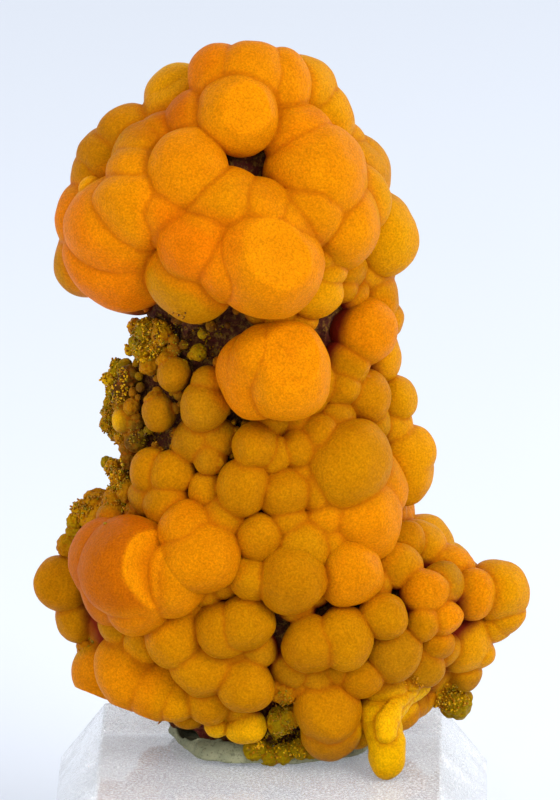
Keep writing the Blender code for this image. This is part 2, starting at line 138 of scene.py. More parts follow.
CROWN_GLOBULES = [
    Globule(-9.1, 66.0, 3.5, -0.4, Tone.LEMON),
    # Painted shade: the burnt globules here face away from the light, and their tone carries that shade.
    Globule(-8.8, 65.0, 3.7, 1.2, Tone.BURNT),
    Globule(-6.8, 63.6, 3.2, 1.6, Tone.BURNT),
    Globule(-4.8, 68.2, 3.0, 0.8, Tone.FIRE),
    Globule(-1.6, 68.3, 3.5, 0.6, Tone.ORANGE),
    Globule(0.8, 67.4, 3.2, 1.0, Tone.ORANGE),
    Globule(3.0, 66.9, 3.5, 1.0, Tone.GOLD),
    Globule(4.8, 64.1, 3.5, 1.6, Tone.GOLD),
    Globule(3.0, 62.4, 3.2, 2.0, Tone.ORANGE),
    Globule(-3.1, 64.6, 3.9, 3.6, Tone.ORANGE, flat=(0.25, 1.0, 0.25)),
    Globule(7.9, 58.9, 3.7, 1.4, Tone.GOLD),
    Globule(5.3, 58.4, 4.7, 2.8, Tone.ORANGE),
    Globule(3.6, 61.4, 2.8, 2.4, Tone.FIRE),
    Globule(6.7, 61.4, 2.8, 1.0, Tone.GOLD),
    Globule(10.9, 53.0, 3.9, 1.2, Tone.GOLD),
    Globule(7.2, 53.2, 4.0, 2.2, Tone.ORANGE),
    Globule(8.6, 55.8, 3.4, 1.8, Tone.GOLD),
    Globule(4.2, 54.6, 3.4, 2.8, Tone.ORANGE),
    Globule(-14.2, 62.2, 3.2, 1.6, Tone.AMBER),
    Globule(-16.2, 60.3, 3.1, 1.6, Tone.AMBER),
    Globule(-17.3, 58.4, 3.0, 1.4, Tone.AMBER),
    Globule(-12.6, 60.2, 3.4, 2.2, Tone.AMBER),
    # Painted shade: this burnt globule's tone stands in for the shade on its left-facing side.
    Globule(-10.8, 61.8, 2.8, 1.6, Tone.BURNT),
    Globule(-12.4, 57.6, 3.6, 3.0, Tone.ORANGE),
    Globule(-17.8, 53.8, 3.7, 2.6, Tone.FIRE),
    Globule(-18.2, 50.3, 3.5, 2.4, Tone.AMBER),
    Globule(-15.0, 52.8, 5.3, 4.2, Tone.FIRE),
    Globule(-14.9, 49.9, 5.2, 3.9, Tone.FIRE),
    Globule(-13.4, 55.0, 4.1, 4.4, Tone.ORANGE),
    Globule(-17.8, 57.1, 0.95, 6.4, Tone.LEMON),
    Globule(-8.0, 58.6, 3.9, 3.2, Tone.ORANGE),
    Globule(-10.0, 55.0, 3.4, 2.8, Tone.FIRE),
    Globule(-6.8, 51.6, 4.3, 3.2, Tone.FIRE),
    Globule(-7.8, 48.0, 4.2, 2.2, Tone.AMBER),
    Globule(-4.6, 55.2, 3.8, 2.8, Tone.ORANGE),
    Globule(-0.8, 54.0, 3.6, 3.0, Tone.ORANGE),
    Globule(1.4, 52.4, 3.4, 3.0, Tone.ORANGE),
    Globule(-3.2, 50.0, 4.4, 3.6, Tone.FIRE),
    Globule(-0.1, 49.0, 4.9, 5.4, Tone.ORANGE, flat=(0.35, 1.0, 0.3)),
    Globule(4.8, 46.9, 2.6, 1.8, Tone.GOLD),
    Globule(5.6, 49.2, 2.2, 2.0, Tone.GOLD),
    Globule(5.6, 51.2, 2.4, 1.8, Tone.AMBER),
]
WAIST_GLOBULES = [
    Globule(10.0, 46.2, 3.0, 1.0, Tone.AMBER),
    Globule(9.6, 43.0, 3.1, 1.4, Tone.ORANGE),
    Globule(11.4, 44.2, 1.9, 1.0, Tone.GOLD),
    Globule(10.8, 40.6, 2.6, 0.8, Tone.GOLD),
    Globule(8.0, 39.8, 2.2, 0.6, Tone.AMBER),
    Globule(12.8, 36.3, 2.2, 1.0, Tone.GOLD),
    Globule(9.7, 36.6, 2.4, 1.2, Tone.AMBER),
    Globule(12.0, 33.6, 2.3, 1.0, Tone.GOLD),
    Globule(7.2, 37.4, 1.8, 0.8, Tone.AMBER),
    Globule(6.8, 34.4, 1.7, 1.0, Tone.OCHRE),
    Globule(2.0, 38.7, 4.4, 4.4, Tone.ORANGE, flat=(0.2, 1.0, 0.4)),
    Globule(0.4, 38.6, 4.2, 3.6, Tone.ORANGE),
    Globule(-1.1, 38.5, 3.7, 2.6, Tone.FIRE),
    Globule(13.5, 30.4, 3.1, 1.2, Tone.GOLD),
    Globule(13.6, 28.6, 2.9, 1.2, Tone.GOLD),
    Globule(8.1, 29.9, 4.1, 2.6, Tone.AMBER),
    Globule(10.2, 27.4, 3.6, 2.0, Tone.ORANGE),
    Globule(5.2, 32.4, 2.2, 1.2, Tone.AMBER),
    Globule(5.4, 27.6, 2.6, 1.8, Tone.AMBER),
    Globule(9.6, 24.2, 4.0, 3.0, Tone.ORANGE),
    Globule(6.0, 24.4, 2.6, 1.8, Tone.ORANGE),
    Globule(2.6, 18.2, 3.0, 2.4, Tone.AMBER),
    Globule(3.7, 21.4, 2.5, 1.8, Tone.AMBER),
    Globule(8.5, 18.7, 3.0, 2.6, Tone.ORANGE),
    Globule(6.4, 21.6, 2.6, 1.4, Tone.AMBER),
    Globule(-1.4, 31.3, 2.2, 2.0, Tone.AMBER),
    Globule(0.6, 30.6, 1.7, 1.6, Tone.AMBER),
    Globule(-2.6, 27.2, 2.6, 1.8, Tone.AMBER),
    Globule(-1.0, 22.4, 2.1, 1.6, Tone.AMBER),
    Globule(-1.8, 18.4, 2.1, 1.4, Tone.AMBER),
    Globule(1.6, 26.8, 2.5, 1.4, Tone.AMBER),
    Globule(2.0, 24.0, 1.9, 1.2, Tone.AMBER),
    Globule(3.0, 31.2, 2.0, 1.0, Tone.AMBER),
    Globule(3.8, 28.8, 1.9, 1.0, Tone.AMBER),
    Globule(-4.6, 24.4, 2.2, 0.8, Tone.AMBER),
    Globule(-6.0, 30.2, 1.6, 0.8, Tone.OCHRE),
    Globule(-6.2, 27.0, 1.7, 0.5, Tone.AMBER),
    Globule(-10.2, 25.6, 2.2, 0.8, Tone.AMBER),
]
WINDOW_GLOBULES = [
    # Painted shadow: this globule takes the darker ochre tone for the crown's shadow on it.
    Globule(-6.6, 35.3, 2.3, 1.6, Tone.OCHRE),
    Globule(-6.1, 37.7, 1.5, 1.0, Tone.OCHRE),
    Globule(-9.7, 38.6, 1.5, 0.9, Tone.OCHRE),
    Globule(-10.3, 39.9, 0.9, 0.8, Tone.OCHRE, True),
    Globule(-11.1, 34.7, 1.5, 0.9, Tone.OCHRE),
    Globule(-13.6, 31.9, 1.1, 0.1, Tone.UMBER, True),
    Globule(-11.6, 35.9, 0.9, 0.7, Tone.OCHRE, True),
    Globule(-14.7, 34.0, 1.2, 1.0, Tone.LEMON),
    Globule(-13.9, 35.4, 0.8, 0.6, Tone.OCHRE, True),
    Globule(-11.9, 28.9, 2.0, 1.2, Tone.AMBER),
    Globule(-9.8, 28.7, 2.0, 1.2, Tone.AMBER),
    Globule(-5.9, 30.2, 1.4, 0.8, Tone.OCHRE, True),
    Globule(-12.4, 43.0, 1.2, 0.5, Tone.OLIVE, True),
    Globule(-10.8, 42.6, 1.1, 0.4, Tone.OCHRE, True),
    Globule(-12.7, 40.9, 1.1, 0.6, Tone.OLIVE, True),
    Globule(-12.0, 39.4, 1.0, 0.3, Tone.OCHRE, True),
    Globule(-13.6, 41.8, 0.7, 0.3, Tone.OLIVE, True),
    Globule(-13.6, 43.4, 0.8, 0.2, Tone.OCHRE, True),
    Globule(-14.1, 41.0, 0.5, 0.3, Tone.LEMON, True),
    Globule(-11.4, 41.3, 0.8, 0.5, Tone.OCHRE, True),
    Globule(-9.5, 41.2, 0.7, 0.2, Tone.UMBER, True),
    Globule(-7.1, 40.7, 0.8, 0.2, Tone.OLIVE, True),
    Globule(-15.4, 39.2, 0.9, 0.2, Tone.OLIVE, True),
    Globule(-16.3, 38.1, 0.7, 0.1, Tone.LEMON, True),
    Globule(-14.6, 39.5, 0.7, 0.2, Tone.OLIVE, True),
    Globule(-14.2, 38.4, 1.1, 0.0, Tone.UMBER, True),
    Globule(-14.8, 37.0, 1.2, 0.0, Tone.UMBER, True),
    Globule(-15.9, 36.8, 0.8, 0.1, Tone.OLIVE, True),
    Globule(-16.0, 35.7, 0.8, 0.1, Tone.OLIVE, True),
    Globule(-16.2, 34.6, 0.9, 0.1, Tone.OCHRE, True),
    Globule(-16.5, 33.6, 0.8, 0.1, Tone.OLIVE, True),
    Globule(-15.7, 32.8, 0.8, 0.2, Tone.OCHRE, True),
    Globule(-14.9, 32.2, 0.8, 0.3, Tone.OCHRE, True),
    Globule(-14.4, 31.2, 0.8, 0.3, Tone.OCHRE, True),
    Globule(-14.8, 35.6, 1.2, -0.2, Tone.UMBER, True),
    Globule(-13.5, 33.6, 0.9, 0.0, Tone.UMBER, True),
    Globule(-14.3, 30.1, 0.9, 0.0, Tone.UMBER, True),
    Globule(-15.8, 29.2, 0.9, 0.2, Tone.OCHRE, True),
    Globule(-15.2, 28.1, 1.0, 0.4, Tone.OCHRE, True),
    Globule(-16.6, 29.8, 0.5, 0.1, Tone.OLIVE, True),
    Globule(-14.4, 26.9, 1.1, 0.3, Tone.OCHRE, True),
]
TWIN_GLOBULES = [
    # Painted shade: the twin's left globules take the burnt tone because they face away from the light.
    Globule(-16.4, 19.9, 3.9, 3.4, Tone.BURNT),
    Globule(-15.9, 17.3, 3.6, 3.7, Tone.BURNT),
    Globule(-14.3, 19.0, 4.9, 4.3, Tone.BURNT, flat=(0.8, 1.0, 0.05)),
    Globule(-13.4, 15.9, 3.4, 4.0, Tone.ORANGE),
    Globule(-6.9, 20.2, 3.5, 3.0, Tone.ORANGE),
    Globule(-8.2, 23.0, 2.7, 2.2, Tone.ORANGE),
    Globule(-9.6, 18.2, 3.2, 3.4, Tone.ORANGE),
]
SKIRT_GLOBULES = [
    Globule(-21.2, 17.6, 2.6, 0.5, Tone.AMBER),
    Globule(-20.6, 21.4, 1.2, 0.2, Tone.OCHRE, True),
    Globule(-19.2, 25.0, 1.0, 0.0, Tone.LEMON, True),
    Globule(-17.6, 25.9, 1.3, 0.2, Tone.OCHRE, True),
    Globule(-15.6, 26.3, 1.3, 0.4, Tone.OCHRE, True),
    Globule(-18.4, 24.4, 1.3, 0.3, Tone.OCHRE, True),
    Globule(-19.9, 23.8, 0.8, 0.0, Tone.OLIVE, True),
    Globule(-19.8, 22.7, 0.9, 0.2, Tone.OLIVE, True),
    Globule(-13.4, 24.6, 1.3, 0.0, Tone.UMBER, True),
    Globule(-19.6, 14.0, 2.1, 0.2, Tone.AMBER),
    Globule(-18.1, 11.0, 1.7, 0.4, Tone.OLIVE, True),
    Globule(-17.3, 8.7, 2.9, 1.4, Tone.ORANGE),
    Globule(-14.4, 8.6, 3.5, 1.6, Tone.ORANGE),
    Globule(-11.8, 7.0, 3.0, 1.6, Tone.ORANGE),
    Globule(-9.7, 6.2, 2.2, 1.8, Tone.GOLD),
    Globule(-9.6, 12.6, 3.0, 1.6, Tone.AMBER),
    Globule(-12.6, 11.6, 2.0, 0.8, Tone.AMBER),
    Globule(-4.6, 13.2, 2.6, 1.8, Tone.AMBER),
    Globule(-2.3, 13.8, 2.5, 1.8, Tone.AMBER),
    Globule(-2.5, 7.7, 2.6, 1.8, Tone.AMBER),
    Globule(-6.6, 9.4, 3.0, 1.3, Tone.AMBER),
    Globule(-6.2, 5.9, 2.2, 1.0, Tone.AMBER),
    Globule(-5.4, 3.3, 1.1, 1.4, Tone.LEMON),
    Globule(-2.4, 3.3, 1.7, 1.0, Tone.LEMON),
    Globule(1.3, 7.2, 1.6, 0.3, Tone.OCHRE, True),
    Globule(1.1, 3.8, 1.4, 0.4, Tone.OLIVE, True),
    Globule(2.1, 4.3, 1.2, 0.6, Tone.OLIVE, True),
    Globule(-1.4, 0.8, 1.2, 0.9, Tone.OLIVE, True),
    Globule(0.0, 0.2, 0.9, 0.9, Tone.OLIVE, True),
    Globule(1.4, 0.4, 1.0, 0.9, Tone.OLIVE, True),
    Globule(3.0, 0.9, 1.0, 0.9, Tone.OLIVE, True),
    Globule(4.0, 0.8, 0.8, 0.8, Tone.OLIVE, True),
    Globule(6.1, 4.8, 3.1, 2.2, Tone.AMBER),
    Globule(6.4, 3.0, 2.8, 1.8, Tone.OCHRE),
    Globule(8.8, 3.0, 1.8, 1.0, Tone.AMBER),
    Globule(4.6, 11.7, 2.7, 1.8, Tone.AMBER),
    Globule(7.6, 12.4, 2.9, 1.8, Tone.AMBER),
    Globule(9.4, 8.4, 2.0, 1.2, Tone.AMBER),
    Globule(11.5, 14.6, 2.1, 1.6, Tone.AMBER),
    Globule(12.8, 11.0, 2.6, 1.0, Tone.OCHRE),
    Globule(15.4, 13.9, 1.6, 1.0, Tone.AMBER),
    Globule(15.6, 17.0, 2.1, 0.9, Tone.ORANGE),
    Globule(15.2, 21.2, 2.6, 1.2, Tone.GOLD),
    Globule(12.8, 19.6, 2.2, 1.2, Tone.AMBER),
    Globule(13.6, 21.8, 1.9, 1.0, Tone.AMBER),
    Globule(17.8, 18.9, 2.8, 1.4, Tone.ORANGE),
    Globule(23.3, 17.1, 3.0, 0.8, Tone.GOLD),
    Globule(20.6, 16.6, 2.3, 0.8, Tone.ORANGE),
    Globule(23.8, 14.8, 2.1, 0.6, Tone.GOLD),
    Globule(22.6, 13.6, 1.8, 0.6, Tone.GOLD),
    Globule(19.6, 11.9, 2.8, 2.2, Tone.GOLD),
    Globule(21.2, 10.7, 1.6, 1.6, Tone.GOLD),
    Globule(19.8, 8.5, 1.6, 1.0, Tone.OCHRE),
    Globule(18.4, 8.0, 1.4, 0.4, Tone.OLIVE, True),
    Globule(18.9, 5.6, 1.7, 0.3, Tone.OLIVE, True),
    Globule(16.8, 6.6, 1.3, 0.2, Tone.OCHRE, True),
    Globule(15.6, 9.6, 2.2, 1.0, Tone.OCHRE),
    Globule(14.2, 8.4, 1.6, 0.6, Tone.OCHRE, True),
    Globule(17.4, 14.4, 1.8, 0.8, Tone.ORANGE),
    Globule(16.8, 11.8, 1.8, 0.8, Tone.AMBER),
]


@dataclass(frozen=True)
class View:
    """The display view's way of naming places on the specimen."""

    @staticmethod
    def height(up: float, depth: float) -> float:
        """Height above the block of what shows this far up and lies at this depth."""
        return (up - depth * math.sin(LOOK_DOWN)) / math.cos(LOOK_DOWN)

    @staticmethod
    def point(across: float, up: float, depth: float) -> Vector:
        """The point that shows here and lies at this depth, in millimetres above the block."""
        return Vector((across, depth, View.height(up, depth)))


def in_frame(point: Sequence[float]) -> Vector:
    """A point given in millimetres above the block, in metres in the part's frame."""
    return Vector((point[0], point[1], point[2] + BLOCK_HEIGHT)) * MM


def deselect() -> None:
    """Deselects every object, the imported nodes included."""
    bpy.ops.object.select_all(action="DESELECT")


def activate(obj: bpy.types.Object) -> None:
    """Makes this the one selected and active object."""
    deselect()
    obj.select_set(True)
    bpy.context.view_layer.objects.active = obj


def apply_modifier(obj: bpy.types.Object, kind: str, **settings: object) -> None:
    """Adds a modifier to the object and applies it at once.

    Args:
        obj: the object to shape.
        kind: the modifier's type.
        **settings: values for the modifier's own properties.
    """
    activate(obj)
    modifier = obj.modifiers.new(kind.title(), kind)
    for name, value in settings.items():
        setattr(modifier, name, value)
    bpy.ops.object.modifier_apply(modifier=modifier.name)


def displace(
    obj: bpy.types.Object, kind: str, size: float, strength: float, middle: float = 0.5, **settings: object
) -> None:
    """Pushes the object's surface in and out by a procedural texture.

    Args:
        obj: the object to shape.
        kind: the texture's type, CLOUDS or VORONOI.
        size: the texture's scale in the object's own units.
        strength: how far full white pushes out.
        middle: the grey that stays where it is.
        **settings: values for the texture's own properties.
    """
    texture = bpy.data.textures.new(f"{obj.name}_relief", kind)
    texture.noise_scale = size
    for name, value in settings.items():
        setattr(texture, name, value)
    apply_modifier(obj, "DISPLACE", texture=texture, strength=strength, mid_level=middle)
    bpy.data.textures.remove(texture)


def joined(objects: Sequence[bpy.types.Object], name: str) -> bpy.types.Object:
    """Joins objects into the first one.

    Args:
        objects: at least one object.
        name: the joined piece's name.

    Returns:
        The first object, which now holds every mesh.
    """
    deselect()
    for obj in objects:
        obj.select_set(True)
    bpy.context.view_layer.objects.active = objects[0]
    bpy.ops.object.join()
    objects[0].name = name
    objects[0].data.name = name
    return objects[0]


def smooth_by_angle(obj: bpy.types.Object, degrees: float) -> None:
    """Shades the object smooth and keeps edges sharper than the angle crisp."""
    activate(obj)
    bpy.ops.object.shade_smooth_by_angle(angle=math.radians(degrees))


def coordinates(mesh: bpy.types.Mesh) -> np.ndarray:
    """The mesh's vertex places as rows of x, y and z."""
    flat = np.zeros(len(mesh.vertices) * 3, np.float32)
    mesh.vertices.foreach_get("co", flat)
    return flat.reshape(-1, 3)


def write_attribute(mesh: bpy.types.Mesh, name: str, values: np.ndarray) -> None:
    """Stores one number a vertex under this name."""
    attribute = mesh.attributes.get(name) or mesh.attributes.new(name, "FLOAT", "POINT")
    attribute.data.foreach_set("value", values.astype(np.float32))


def neighbour_mean(ends: np.ndarray, values: np.ndarray) -> np.ndarray:
    """The mean of each vertex's neighbours.

    Args:
        ends: rows of the two vertices that an edge joins.
        values: one number a vertex.

    Returns:
        One number a vertex.
    """
    starts, stops = np.concatenate((ends, ends[:, ::-1])).T
    total = np.bincount(starts, weights=values[stops], minlength=len(values))
    return total / np.maximum(1, np.bincount(starts, minlength=len(values)))


def valleys(mesh: bpy.types.Mesh, rounds: int) -> np.ndarray:
    """How strongly the surface bends inwards at each vertex.

    Args:
        mesh: a mesh without loose parts.
        rounds: how often the result is spread to the neighbours.

    Returns:
        One number a vertex, in 1/mm: below 0 on a ball and above 0 in a valley.
    """
    ends = np.zeros(len(mesh.edges) * 2, np.int32)
    mesh.edges.foreach_get("vertices", ends)
    ends = ends.reshape(-1, 2)
    points = coordinates(mesh) / MM
    normals = np.zeros(points.size, np.float32)
    mesh.vertices.foreach_get("normal", normals)
    middles = np.stack([neighbour_mean(ends, column) for column in points.T], axis=1)
    dip = ((middles - points) * normals.reshape(-1, 3)).sum(axis=1)
    spread = np.stack([neighbour_mean(ends, column) for column in (points**2).T], axis=1) - middles**2
    bend = 4 * dip / np.maximum(spread.sum(axis=1), 0.001)
    for _ in range(rounds):
        bend = (bend + neighbour_mean(ends, bend)) / 2
    return bend


def node_copy(frame: dict, node: str, name: str) -> bpy.types.Object:
    """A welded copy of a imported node's mesh as a piece of its own.

    Args:
        node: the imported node's name.
        name: the new piece's name.

    Returns:
        The new object, at the origin.
    """
    obj = bpy.data.objects.new(name, frame["nodes"][node].data.copy())
    bpy.context.scene.collection.objects.link(obj)
    obj.data.materials.clear()
    activate(obj)
    bpy.ops.object.mode_set(mode="EDIT")
    bpy.ops.mesh.select_all(action="SELECT")
    bpy.ops.mesh.remove_doubles(threshold=0.00001)
    bpy.ops.object.mode_set(mode="OBJECT")
    return obj


class Graph:
    """A material's node graph, with short calls for the nodes that the finishes share."""

    def __init__(self, name: str) -> None:
        """Starts a material that holds one Principled shader."""
        self.material = bpy.data.materials.new(name)
        self.material.use_nodes = True
        self.tree = self.material.node_tree
        self.shader = self.tree.nodes["Principled BSDF"]

    def node(self, kind: str, inputs: dict | None = None, **settings: object) -> bpy.types.Node:
        """Adds a node.

        Args:
            kind: the node's type.
            inputs: values or sockets for its input sockets, by name or number.
            **settings: values for the node's own properties.

        Returns:
            The new node.
        """
        made = self.tree.nodes.new(kind)
        for name, value in settings.items():
            setattr(made, name, value)
        for name, value in (inputs or {}).items():
            self.feed(made.inputs[name], value)
        return made

    def feed(self, socket: bpy.types.NodeSocket, value: object) -> None:
        """Links a socket to another, or sets its own value."""
        if isinstance(value, bpy.types.NodeSocket):
            self.tree.links.new(value, socket)
        else:
            socket.default_value = value

    def set(self, **values: object) -> None:
        """Sets or links the shader's sockets, whose names have _ in place of a space."""
        for name, value in values.items():
            self.feed(self.shader.inputs[name.replace("_", " ")], value)

    def place(self) -> bpy.types.NodeSocket:
        """The object's own coordinates."""
        return self.node("ShaderNodeTexCoord").outputs["Object"]

    def attribute(self, name: str, part: str = "Fac") -> bpy.types.NodeSocket:
        """A value that the mesh stores at each vertex."""
        return self.node("ShaderNodeAttribute", attribute_name=name).outputs[part]

    def noise(self, size: float, detail: float = 4.0, roughness: float = 0.55) -> bpy.types.NodeSocket:
        """Cloudy noise whose features are about this many millimetres across."""
        inputs = {"Vector": self.place(), "Scale": 1 / (size * MM), "Detail": detail, "Roughness": roughness}
        return self.node("ShaderNodeTexNoise", inputs).outputs["Fac"]

    def cells(self, size: float, feature: str = "F1", output: str = "Distance") -> bpy.types.NodeSocket:
        """Cells about this many millimetres across."""
        inputs = {"Vector": self.place(), "Scale": 1 / (size * MM)}
        return self.node("ShaderNodeTexVoronoi", inputs, feature=feature).outputs[output]

    def ramp(self, value: bpy.types.NodeSocket, stops: Sequence[tuple]) -> bpy.types.NodeSocket:
        """Turns a number into a colour.

        Args:
            value: the number's socket.
            stops: pairs of place and colour, or place and grey.

        Returns:
            The colour's socket.
        """
        made = self.node("ShaderNodeValToRGB", {"Fac": value})
        band = made.color_ramp.elements
        for _ in range(len(stops) - len(band)):
            band.new(0.5)
        for element, (at, shade) in zip(band, stops):
            element.position = at
            rgb = shade if isinstance(shade, tuple) else (shade, shade, shade)
            element.color = (*rgb, 1.0)
        return made.outputs["Color"]

    def mix(self, share: object, first: object, second: object, blend: str = "MIX") -> bpy.types.NodeSocket:
        """Mixes two colours.

        Args:
            share: how much of the second, as a number or a socket.
            first: a colour or a socket.
            second: a colour or a socket.
            blend: the way they mix.

        Returns:
            The mixed colour's socket.
        """
        made = self.node("ShaderNodeMix", data_type="RGBA", blend_type=blend)
        self.feed(made.inputs["Factor"], share)
        for socket, value in zip([s for s in made.inputs if s.type == "RGBA"], (first, second)):
            self.feed(socket, (*value, 1.0) if isinstance(value, tuple) else value)
        return next(s for s in made.outputs if s.type == "RGBA")

    def maths(self, operation: str, first: object, second: object = 0.0) -> bpy.types.NodeSocket:
        """One sum on one or two numbers."""
        made = self.node("ShaderNodeMath", {0: first, 1: second}, operation=operation)
        return made.outputs["Value"]

    def bump(
        self, height: bpy.types.NodeSocket, depth: float, strength: float = 1.0, under: object = None
    ) -> bpy.types.NodeSocket:
        """Makes a relief of a height.

        Args:
            height: the height's socket, from 0 to 1.
            depth: what a height of 1 stands for, in millimetres.
            strength: how strongly the relief shows.
            under: the normal's socket of a relief below this one.

        Returns:
            The normal's socket.
        """
        inputs = {"Height": height, "Distance": depth * MM, "Strength": strength}
        if under is not None:
            inputs["Normal"] = under
        return self.node("ShaderNodeBump", inputs).outputs["Normal"]


@dataclass(frozen=True)
class MimetiteFinish:
    """Waxy, slightly translucent globules with a skin of tiny crystal tips."""

    grain: float = 0.2
    tips: float = 0.5
    clouds: float = 2.6
    grain_height: float = 0.035
    tip_height: float = 0.03
    # The crease colour is painted shade, a deep red-brown that darkens the valleys between globules by the
    # crease strength.
    crease_shade: Colour = (0.34, 0.060, 0.001)
    crease_shade_strength: float = 0.4
    roots: Colour = (0.15, 0.012, 0.004)
    roughness: float = 0.5
    glow: float = 0.25
    glow_reach: float = 1.2
    glow_colour: Colour = (1.0, 0.35, 0.04)
    gloss: float = 0.05
    gloss_tint: Colour = (1.0, 0.5, 0.05)

    def material(self) -> bpy.types.Material:
        """Builds the material.

        Returns:
            The material, which reads the crust's growth_colour, crease and root attributes.
        """
        graph = Graph("mimetite")
        growth = graph.attribute("growth_colour", "Color")
        grain = graph.noise(self.grain, 3.0, 0.6)
        clouds = graph.noise(self.clouds, 5.0)
        tips = graph.cells(self.tips)
        speckled = graph.mix(1.0, growth, graph.ramp(grain, [(0.3, 0.68), (0.7, 1.2)]), "MULTIPLY")
        clouded = graph.mix(
            1.0, speckled, graph.ramp(clouds, [(0.3, (0.9, 0.86, 0.8)), (0.62, (1.0, 1.0, 1.0))]), "MULTIPLY"
        )
        # Painted shade: valleys, found from the mesh's bend, darken towards the crease colour.
        crease = graph.ramp(graph.attribute("crease"), [(0.1, 0.0), (1.0, 1.0)])
        crease_shaded = graph.mix(graph.maths("MULTIPLY", crease, self.crease_shade_strength), clouded, self.crease_shade)
        root = graph.ramp(graph.attribute("root"), [(0.35, 0.0), (0.95, 1.0)])
        rooted = graph.mix(root, crease_shaded, self.roots)
        fine = graph.bump(grain, self.grain_height)
        relief = graph.bump(tips, self.tip_height, under=fine)
        graph.set(
            Base_Color=rooted,
            Roughness=self.roughness,
            Normal=relief,
            Subsurface_Weight=self.glow,
            Subsurface_Radius=self.glow_colour,
            Subsurface_Scale=self.glow_reach * MM,
            Specular_IOR_Level=self.gloss,
            Specular_Tint=(*self.gloss_tint, 1.0),
        )
        return graph.material


@dataclass(frozen=True)
class GossanFinish:
    """Dark iron-stained rock with ochre dust and purplish patches."""

    dark: Colour = (0.040, 0.006, 0.005)
    brown: Colour = (0.100, 0.026, 0.010)
    purple: Colour = (0.130, 0.012, 0.012)
    ochre: Colour = (0.28, 0.15, 0.020)

    def material(self) -> bpy.types.Material:
        """Builds the material, coloured by height of relief and by patches."""
        graph = Graph("gossan")
        broad = graph.noise(5.0, 6.0)
        grit = graph.noise(0.5, 6.0, 0.7)
        cells = graph.cells(0.9)
        rock = graph.ramp(grit, [(0.35, self.dark), (0.62, self.brown)])
        patched = graph.mix(graph.ramp(broad, [(0.55, 0.0), (0.68, 0.7)]), rock, self.purple)
        dust = graph.ramp(graph.noise(0.6, 8.0, 0.8), [(0.5, 0.0), (0.6, 1.0)])
        dusted = graph.mix(graph.maths("MULTIPLY", dust, 0.75), patched, self.ochre)
        relief = graph.bump(cells, 0.25, under=graph.bump(grit, 0.2))
        graph.set(Base_Color=dusted, Roughness=0.9, Normal=relief, Specular_IOR_Level=0.12)
        return graph.material


@dataclass(frozen=True)
class DruseFinish:
    """Small glassy crystals, from olive to lemon yellow."""

    roughness: float = 0.25

    def material(self) -> bpy.types.Material:
        """Builds the material, which reads the crystals' growth_colour attribute."""
        graph = Graph("druse")
        growth = graph.attribute("growth_colour", "Color")
        cloudy = graph.ramp(graph.noise(0.4), [(0.3, 0.65), (0.7, 1.0)])
        graph.set(
            Base_Color=graph.mix(1.0, growth, cloudy, "MULTIPLY"),
            Roughness=self.roughness,
            Specular_IOR_Level=0.3,
            Specular_Tint=(1.0, 0.8, 0.4, 1.0),
            Subsurface_Weight=0.2,
            Subsurface_Radius=(1.0, 0.5, 0.1),
            Subsurface_Scale=0.6 * MM,
        )
        return graph.material


@dataclass(frozen=True)
class PuttyFinish:
    """Grey-green putty, matt, with a slight oily sheen and dust pressed in."""

    colour: Colour = (0.27, 0.27, 0.155)
    shade: Colour = (0.17, 0.18, 0.10)

    def material(self) -> bpy.types.Material:
        """Builds the material with faint mottling and finger-skin relief."""
        graph = Graph("putty")
        mottle = graph.ramp(graph.noise(1.6, 5.0), [(0.3, self.shade), (0.65, self.colour)])
        specks = graph.ramp(graph.noise(0.25, 2.0), [(0.36, 0.45), (0.44, 1.0)])
        relief = graph.bump(graph.noise(0.5, 5.0), 0.12, under=graph.bump(graph.noise(2.5), 0.4))
        graph.set(
            Base_Color=graph.mix(0.7, mottle, specks, "MULTIPLY"),
            Roughness=0.7,
            Normal=relief,
            Specular_IOR_Level=0.35,
        )
        return graph.material


@dataclass(frozen=True)
class AcrylicFinish:
    """Clear cast acrylic with polished faces, hairline scratches and a little dust."""

    tint: Colour = (0.985, 0.99, 1.0)
    index: float = 1.49

    def material(self) -> bpy.types.Material:
        """Builds the see-through material."""
        graph = Graph("acrylic")
        wear = graph.ramp(graph.noise(3.0, 8.0, 0.7), [(0.4, 0.03), (0.75, 0.14)])
        dust = graph.ramp(graph.noise(0.28, 3.0, 0.7), [(0.38, 0.42), (0.62, 0.86)])
        graph.set(
            Base_Color=(*self.tint, 1.0),
            Roughness=wear,
            Transmission_Weight=dust,
            IOR=self.index,
            Normal=graph.bump(graph.noise(0.3, 6.0, 0.7), 0.004),
        )
        return graph.material


